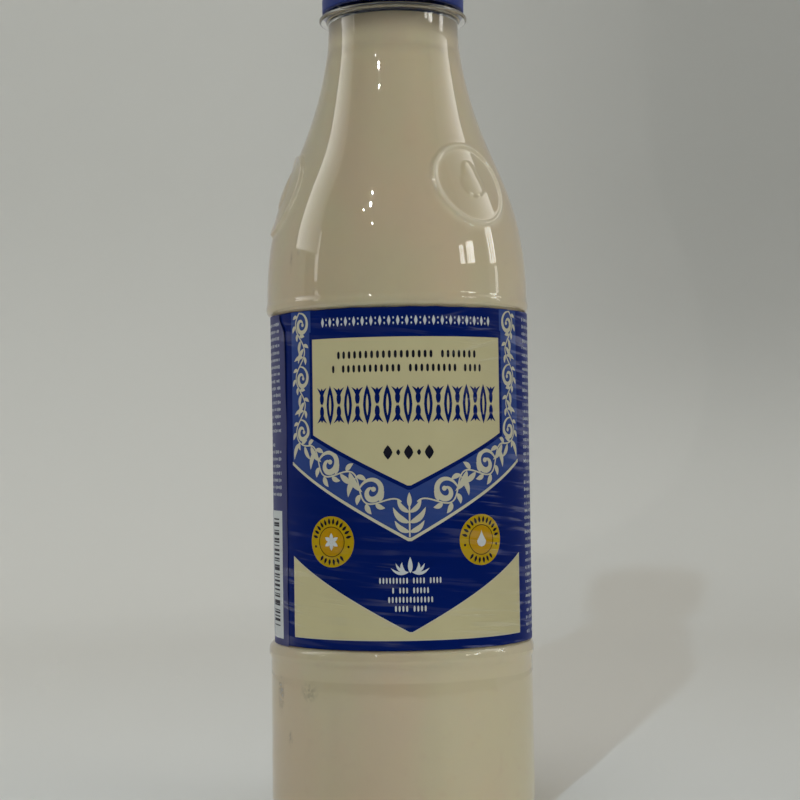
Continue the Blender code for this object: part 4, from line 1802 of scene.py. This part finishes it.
# ---------------------------------------------------------------- the cap


@dataclass
class ScrewCap:
    """The screw cap: knurled skirt and flat roof over a smooth foot band on small bridges."""

    radius: float = 0.0206
    skirt: float = 0.0203
    bore: float = 0.0192
    bottom: float = 0.2323
    top: float = 0.2497
    roof: float = 0.0015
    edge: float = 0.0011
    band_top: float = 0.2365
    slit: float = 0.0005
    knurls: int = 48
    knurl_top: float = 0.2481
    bridges: int = 8
    bridge_size: tuple[float, float, float] = (0.0007, 0.0010, 0.0012)
    roof_ring: tuple[float, float, float] = (0.0152, 0.0157, 0.0163)
    band_inner: float = 0.0198
    finish: CapPlastic = field(default_factory=CapPlastic)

    def knurling(self, line: np.ndarray, azimuths: np.ndarray) -> np.ndarray:
        """Rounded ridges: a soft step over the distance from each ridge's middle, faded at both ends.

        Args:
            line: the profile (r, z).
            azimuths: the columns.

        Returns:
            The rise in metres, (rows, columns).
        """
        pitch = FULL_TURN / self.knurls
        off = np.abs((azimuths / pitch) % 1.0 - 0.5) * pitch * self.radius
        ridge = smooth(off, 0.00062, 0.00022)[None]
        z = line[:, 1:]
        window = smooth(z, self.knurl_top + 0.0004, self.knurl_top - 0.0005)
        window = window * smooth(z, self.band_top + 0.0007, self.band_top + 0.0014)
        on_side = (line[:, :1] > self.skirt - 0.0003).astype(float)
        return ridge * window * on_side * (self.radius - self.skirt)

    def build(self) -> None:
        """The cap in one piece."""
        work = Patchwork("screw_cap_shell")
        azimuths = even_turn(self.knurls * 10)
        gap = self.band_top + self.slit / 2
        skirt = rounded(
            [
                (0.0, self.top - 0.0001, 0.0),
                (self.roof_ring[0], self.top - 0.0001, 0.0004),
                (self.roof_ring[1], self.top - 0.0003, 0.0004),
                (self.roof_ring[2], self.top, 0.0004),
                (self.skirt, self.top, self.edge),
                (self.skirt, gap, 0.00015),
                (self.bore, gap, 0.00015),
                (self.bore, self.top - self.roof, 0.0006),
                (0.0, self.top - self.roof, 0.0),
            ]
        )
        skirt = refined(skirt, 0.0012)
        work.grid(turned(skirt, azimuths, self.knurling(skirt, azimuths)), wrap=True)
        high = self.band_top - self.slit / 2
        band = rounded(
            [
                (self.band_inner, high, 0.0),
                (self.radius, high, 0.0003),
                (self.radius, self.bottom, 0.0004),
                (self.bore, self.bottom, 0.0003),
                (self.bore, high, 0.0002),
                (self.band_inner, high, 0.0),
            ]
        )
        work.grid(turned(refined(band, 0.0012), azimuths[::2]), wrap=True)
        self.add_bridges(work)
        stands_for(work.finished(merge=TOUCHING), "screw_cap", self.finish.material())

    def add_bridges(self, work: Patchwork) -> None:
        """The small bridges in the slit: rounded blocks, |x|^n + |y|^n + |z|^n = 1 with a high power n.

        Args:
            work: the cap's grids.
        """
        rows, columns = np.linspace(math.pi / 2, -math.pi / 2, 9), np.linspace(0, FULL_TURN, 16, endpoint=False)

        def power(value: np.ndarray) -> np.ndarray:
            """The sign of a value times its size to a low power."""
            return np.sign(value) * np.abs(value) ** 0.35

        across = power(np.cos(rows))[:, None] * power(np.sin(columns))[None]
        outward = power(np.cos(rows))[:, None] * power(np.cos(columns))[None]
        up = power(np.sin(rows))[:, None] + np.zeros_like(across)
        deep, wide, high = self.bridge_size
        for k in range(self.bridges):
            turn = FULL_TURN * (k + 0.25) / self.bridges
            r = (self.bore + self.skirt) / 2 + 0.0002 + outward * deep / 2
            side = across * wide / 2
            x = r * math.sin(turn) + side * math.cos(turn)
            y = -r * math.cos(turn) + side * math.sin(turn)
            work.grid(np.stack((x, y, self.band_top + up * high / 2), axis=2), wrap=True)


# ---------------------------------------------------------------- studio


class LitBy(Enum):
    """What a lamp shines on."""

    EVERYTHING = "everything"
    STAGE = "stage"


@dataclass(frozen=True)
class Lamp:
    """A flat lamp that faces the bottle. Azimuths are measured from the camera's own, in degrees."""

    name: str
    azimuth: float
    low: float
    high: float
    spread: float
    distance: float
    radiance: float
    color: tuple[float, float, float] = (1.0, 1.0, 1.0)
    gloss: bool = False
    diffuse: bool = True
    lights: LitBy = LitBy.EVERYTHING


@dataclass(frozen=True)
class GlowCard:
    """A bright card that only shows as a reflection, with its light fading from one side to the other.

    Azimuths are measured from the camera's own and heights from the camera's level, in degrees.
    """

    name: str
    left: float
    right: float
    low: float
    high: float
    left_strength: float
    right_strength: float
    fade: float = 1.0
    bars: float = 0.0
    sill: float = 0.6
    top: float = 3.0
    distance: float = 1.5

    def material(self, azimuth: float, eye: float) -> bpy.types.Material:
        """Light that changes over the card's azimuth, with upright bars where asked.

        Args:
            azimuth: the camera's azimuth in degrees.
            eye: the camera's height in metres.

        Returns:
            The material.
        """
        made, tree = Tree.of_material(self.name)
        x, y, z = tree.parts(tree.place())
        turn = tree.math("ARCTAN2", x, y * -1.0) * math.degrees(1.0) - azimuth
        if abs(self.left) > 90 or abs(self.right) > 90:
            turn = tree.out(tree.node("ShaderNodeMath", {"operation": "WRAP"}, {0: turn, 1: 180.0, 2: -180.0}))
        reach = tree.math("SQRT", x * x + y * y, 0.0)
        rise = tree.math("ARCTAN2", z - eye, reach) * math.degrees(1.0)
        across = (turn - self.left) * (1 / (self.right - self.left))
        share = tree.math("MAXIMUM", across, 0.0) ** self.fade
        strength = share * (self.right_strength - self.left_strength) + self.left_strength
        strength = strength * rise.step(self.low, self.low + self.sill) * rise.step(self.high, self.high - self.top)
        if self.bars:
            wave = tree.math("SINE", turn * (FULL_TURN * self.bars), 0.0)
            strength = strength * (wave.step(-0.6, 0.5) * 0.75 + 0.25)
        glow = tree.node("ShaderNodeEmission", None, {"Color": (1.0, 0.99, 0.95, 1.0), "Strength": strength})
        tree.show(tree.out(glow))
        return made

    def build(self, azimuth: float, eye: float) -> None:
        """A patch of a ball round the bottle, facing in.

        Args:
            azimuth: the camera's azimuth in degrees.
            eye: the camera's height in metres.
        """
        rows = np.radians(np.linspace(self.low, self.high, 10))[:, None]
        columns = np.radians(np.linspace(self.left, self.right, 12) + azimuth)[None]
        level = self.distance * np.cos(rows)
        points = (level * np.sin(columns), -level * np.cos(columns), self.distance * np.sin(rows) + eye + 0 * columns)
        work = Patchwork(self.name)
        work.grid(np.stack(points, axis=2))
        card = work.finished()
        card.data.materials.append(self.material(azimuth, eye))
        card.visible_camera = card.visible_diffuse = card.visible_transmission = card.visible_shadow = False


@dataclass(frozen=True)
class Backdrop:
    """A floor that bends up into a round wall, in three parts that meet flush.

    Only the floor close by shows in the bottle's gloss.
    """

    radius: float = 0.80
    bend: float = 0.30
    height: float = 1.3
    near_floor: float = 0.36
    # How much painted shade darkens the card on the right, on the upper right and high up.
    painted_shade_right: float = 0.08
    painted_shade_upper_right: float = 0.20
    painted_shade_high: float = 0.11
    right_part: tuple[float, float] = (-0.07, 0.31)
    upper_part: tuple[float, float] = (0.05, 0.22)
    high_part: tuple[float, float] = (-0.02, 0.30)
    color: tuple[float, float, float] = (0.74, 0.72, 0.665)

    def material(self) -> bpy.types.Material:
        """Matt pale card with painted shade, a little darker high up and towards the right.

        Returns:
            The material.
        """
        made, tree = Tree.of_material("studio_card")
        place = tree.place()
        x, _, z = tree.parts(place)
        cloud = tree.noise(place, 3.0, 3.0, 0.5)
        # Painted shade: the card is darkened towards the right, more so high up, and a little everywhere high up,
        # standing in for the light falling off there.
        right = x.step(*self.right_part) * (z.step(*self.upper_part) * self.painted_shade_upper_right + self.painted_shade_right)
        painted_shade = right + z.step(*self.high_part) * self.painted_shade_high
        color = tree.blend(shaded(self.color, 0.985), shaded(self.color, 1.015), cloud)
        color = tree.blend(color, (0.0, 0.0, 0.0, 1.0), painted_shade)
        shader = tree.principled({"Base Color": color, "Roughness": 0.9, "Specular IOR Level": 0.05})
        tree.show(shader)
        return made

    def build(self) -> list[bpy.types.Object]:
        """The parts: near floor, back and front.

        Returns:
            The pieces.
        """
        r, bend, low = self.radius, self.bend, -0.0002
        wall = refined(np.array([(r, self.height), (r, bend)]), 0.2)
        floor = refined(np.array([(r - bend, low), (self.near_floor, low)]), 0.1)
        line = np.vstack((wall, arc((r - bend, bend + low), bend, 0, -90, 20)[1:-1], floor))
        disc = refined(np.array([(self.near_floor, low), (0.0, low)]), 0.06)
        side = math.radians(92)
        parts = (
            ("studio_near", disc, np.linspace(0, FULL_TURN, 97), True),
            ("studio_back", line, np.linspace(math.pi - side, math.pi + side, 49), False),
            ("studio_front", line, np.linspace(math.pi + side - FULL_TURN, math.pi - side, 49), False),
        )
        card, made = self.material(), []
        for name, profile, columns, gloss in parts:
            work = Patchwork(name)
            work.grid(turned(profile, columns)[:, ::-1])
            piece = work.finished(merge=TOUCHING)
            piece.data.materials.append(card)
            piece.visible_shadow = False
            piece.visible_glossy = gloss
            made.append(piece)
        return made


@dataclass
class Studio:
    """Backdrop, lamps, ambient light and camera."""

    azimuth: float = -4.0
    distance: float = 0.525
    eye: float = 0.1034
    pitch: float = 1.77
    roll: float = 0.81
    aim: float = -1.7
    focal: float = 1810.0
    sensor: float = 36.0
    picture: int = 800
    room_light: float = 0.345
    room_rise: float = 0.10
    backdrop: Backdrop = field(default_factory=Backdrop)
    cards: tuple[GlowCard, ...] = (
        GlowCard("left_wall", -102.0, -74.0, 17.0, 64.0, 4.6, 0.5, 0.55),
        GlowCard("left_sill", -76.0, -72.3, 9.5, 24.5, 2.4, 2.8, top=0.6),
        GlowCard("right_wall", 68.0, 110.0, 23.0, 52.0, 0.3, 3.8, 2.2),
        GlowCard("right_pane_1", 57.5, 62.0, 13.8, 20.2, 12.0, 13.0, 1.0, 0.55, top=0.8),
        GlowCard("right_pane_2", 65.0, 72.5, 13.8, 21.0, 12.0, 15.0, 1.0, 0.42, top=0.8),
        GlowCard("right_pane_3", 90.0, 99.0, 13.0, 22.5, 7.0, 9.0, 1.0, 0.35, top=1.2),
        GlowCard("right_pane_4", 96.0, 99.5, 4.0, 12.6, 3.0, 3.6, top=0.4),
        GlowCard("back_left", -180.0, -88.0, -14.0, 60.0, 0.42, 0.42, distance=1.7),
        GlowCard("back_right", 88.0, 180.0, -14.0, 60.0, 0.36, 0.36, distance=1.7),
    )
    lamps: tuple[Lamp, ...] = (
        Lamp("ceiling_lamp", -26.0, 37.4, 39.4, 1.7, 1.5, 260.0, gloss=True, diffuse=False),
        Lamp("ceiling_lamp_2", -25.5, 43.2, 44.0, 0.8, 1.5, 600.0, gloss=True, diffuse=False),
        Lamp("ceiling_lamp_3", -32.5, 35.2, 35.8, 0.6, 1.5, 500.0, gloss=True, diffuse=False),
        Lamp("ceiling_lamp_4", -22.5, 29.6, 30.0, 0.5, 1.5, 420.0, gloss=True, diffuse=False),
        Lamp("right_soft", 70.0, -8.0, 42.0, 42.0, 1.7, 2.3),
        Lamp("left_soft", -88.0, -8.0, 42.0, 42.0, 1.7, 1.3),
        Lamp("floor_soft", -20.0, 60.0, 85.0, 60.0, 2.2, 3.1, lights=LitBy.STAGE),
        Lamp("shadow_key", -14.4, 27.7, 28.7, 1.0, 0.96, 3900.0, (0.60, 0.80, 1.0), lights=LitBy.STAGE),
    )

    def spot(self, azimuth: float, elevation: float, distance: float) -> Vector:
        """A point round the bottle, its azimuth measured from the camera's, both in degrees."""
        a, e = math.radians(azimuth + self.azimuth), math.radians(elevation)
        return Vector(round_axis(distance * math.cos(e), a, distance * math.sin(e)))

    def light(self, lamp: Lamp, stage: bpy.types.Collection) -> None:
        """One lamp, sized to fill its angles as seen from the bottle.

        Args:
            lamp: the lamp.
            stage: what a lamp for the stage shines on.
        """
        elevation = (lamp.low + lamp.high) / 2
        place = self.spot(lamp.azimuth, elevation, lamp.distance) + Vector((0.0, 0.0, self.eye))
        reach = lamp.distance * math.cos(math.radians(elevation))
        data = bpy.data.lights.new(lamp.name, "AREA")
        data.shape = "RECTANGLE"
        data.size = 2 * reach * math.tan(math.radians(lamp.spread / 2))
        data.size_y = 2 * lamp.distance * math.tan(math.radians((lamp.high - lamp.low) / 2))
        data.energy = lamp.radiance * math.pi * data.size * data.size_y
        data.color = lamp.color
        obj = bpy.data.objects.new(lamp.name, data)
        obj.location = place
        obj.rotation_euler = (Vector((0.0, 0.0, self.eye)) - place).to_track_quat("-Z", "Y").to_euler()
        obj.visible_camera = False
        obj.visible_transmission = False
        obj.visible_glossy = lamp.gloss
        obj.visible_diffuse = lamp.diffuse
        if lamp.lights is LitBy.STAGE:
            obj.light_linking.receiver_collection = stage
        bpy.context.scene.collection.objects.link(obj)

    def ambient(self) -> None:
        """Soft light from all round, a little stronger from above, that never shows in the gloss."""
        world = bpy.data.worlds.new("soft_room")
        bpy.context.scene.world = world
        world.use_nodes = True
        tree = Tree(world.node_tree)
        _, _, z = tree.parts(tree.out(tree.node("ShaderNodeTexCoord"), "Generated"))
        strength = z.step(-0.4, 0.9) * self.room_rise + self.room_light
        room = tree.node("ShaderNodeBackground", None, {"Color": (1.0, 0.995, 0.98, 1.0), "Strength": strength})
        tree.node("ShaderNodeOutputWorld", None, {"Surface": tree.out(room)})
        world.cycles_visibility.transmission = False
        world.cycles_visibility.glossy = False

    def camera(self) -> None:
        """The photograph's view: a slight upward tilt, a slight roll, no depth of field."""
        place = self.spot(0.0, 0.0, self.distance) + Vector((0.0, 0.0, self.eye))
        level = -Vector((place.x, place.y, 0.0)).normalized()
        right = level.cross(Vector((0.0, 0.0, 1.0)))
        pitch, roll = math.radians(self.pitch), math.radians(self.roll)
        ahead = level * math.cos(pitch) + Vector((0.0, 0.0, 1.0)) * math.sin(pitch)
        up = right.cross(ahead)
        ahead = (ahead - right * self.aim / self.focal).normalized()
        across = right * math.cos(roll) - up * math.sin(roll)
        over = across.cross(ahead).normalized()
        across = ahead.cross(over).normalized()
        data = bpy.data.cameras.new("photo_camera")
        data.sensor_width = self.sensor
        data.lens = self.focal / self.picture * self.sensor
        data.clip_start, data.clip_end = 0.01, 20.0
        turn = Matrix((across, over, -ahead)).transposed()
        obj = bpy.data.objects.new("photo_camera", data)
        obj.matrix_world = Matrix.Translation(place) @ turn.to_4x4()
        bpy.context.scene.collection.objects.link(obj)
        bpy.context.scene.camera = obj

    def build(self) -> None:
        """Everything round the bottle."""
        self.camera()
        self.ambient()
        stage = bpy.data.collections.new("stage_only")
        for piece in self.backdrop.build():
            stage.objects.link(piece)
        for card in self.cards:
            card.build(self.azimuth, self.eye)
        for lamp in self.lamps:
            self.light(lamp, stage)
        bpy.context.scene.view_settings.view_transform = "Standard"


def main() -> None:
    """Build the studio and the bottle's pieces in order."""
    logging.basicConfig(level=logging.INFO, format="%(message)s")
    Studio().build()
    shell = BottleShell(WallLine())
    shell.build()
    MilkFill(shell).build()
    WrapLabel().build()
    ScrewCap().build()


if __name__ == "__main__":
    main()
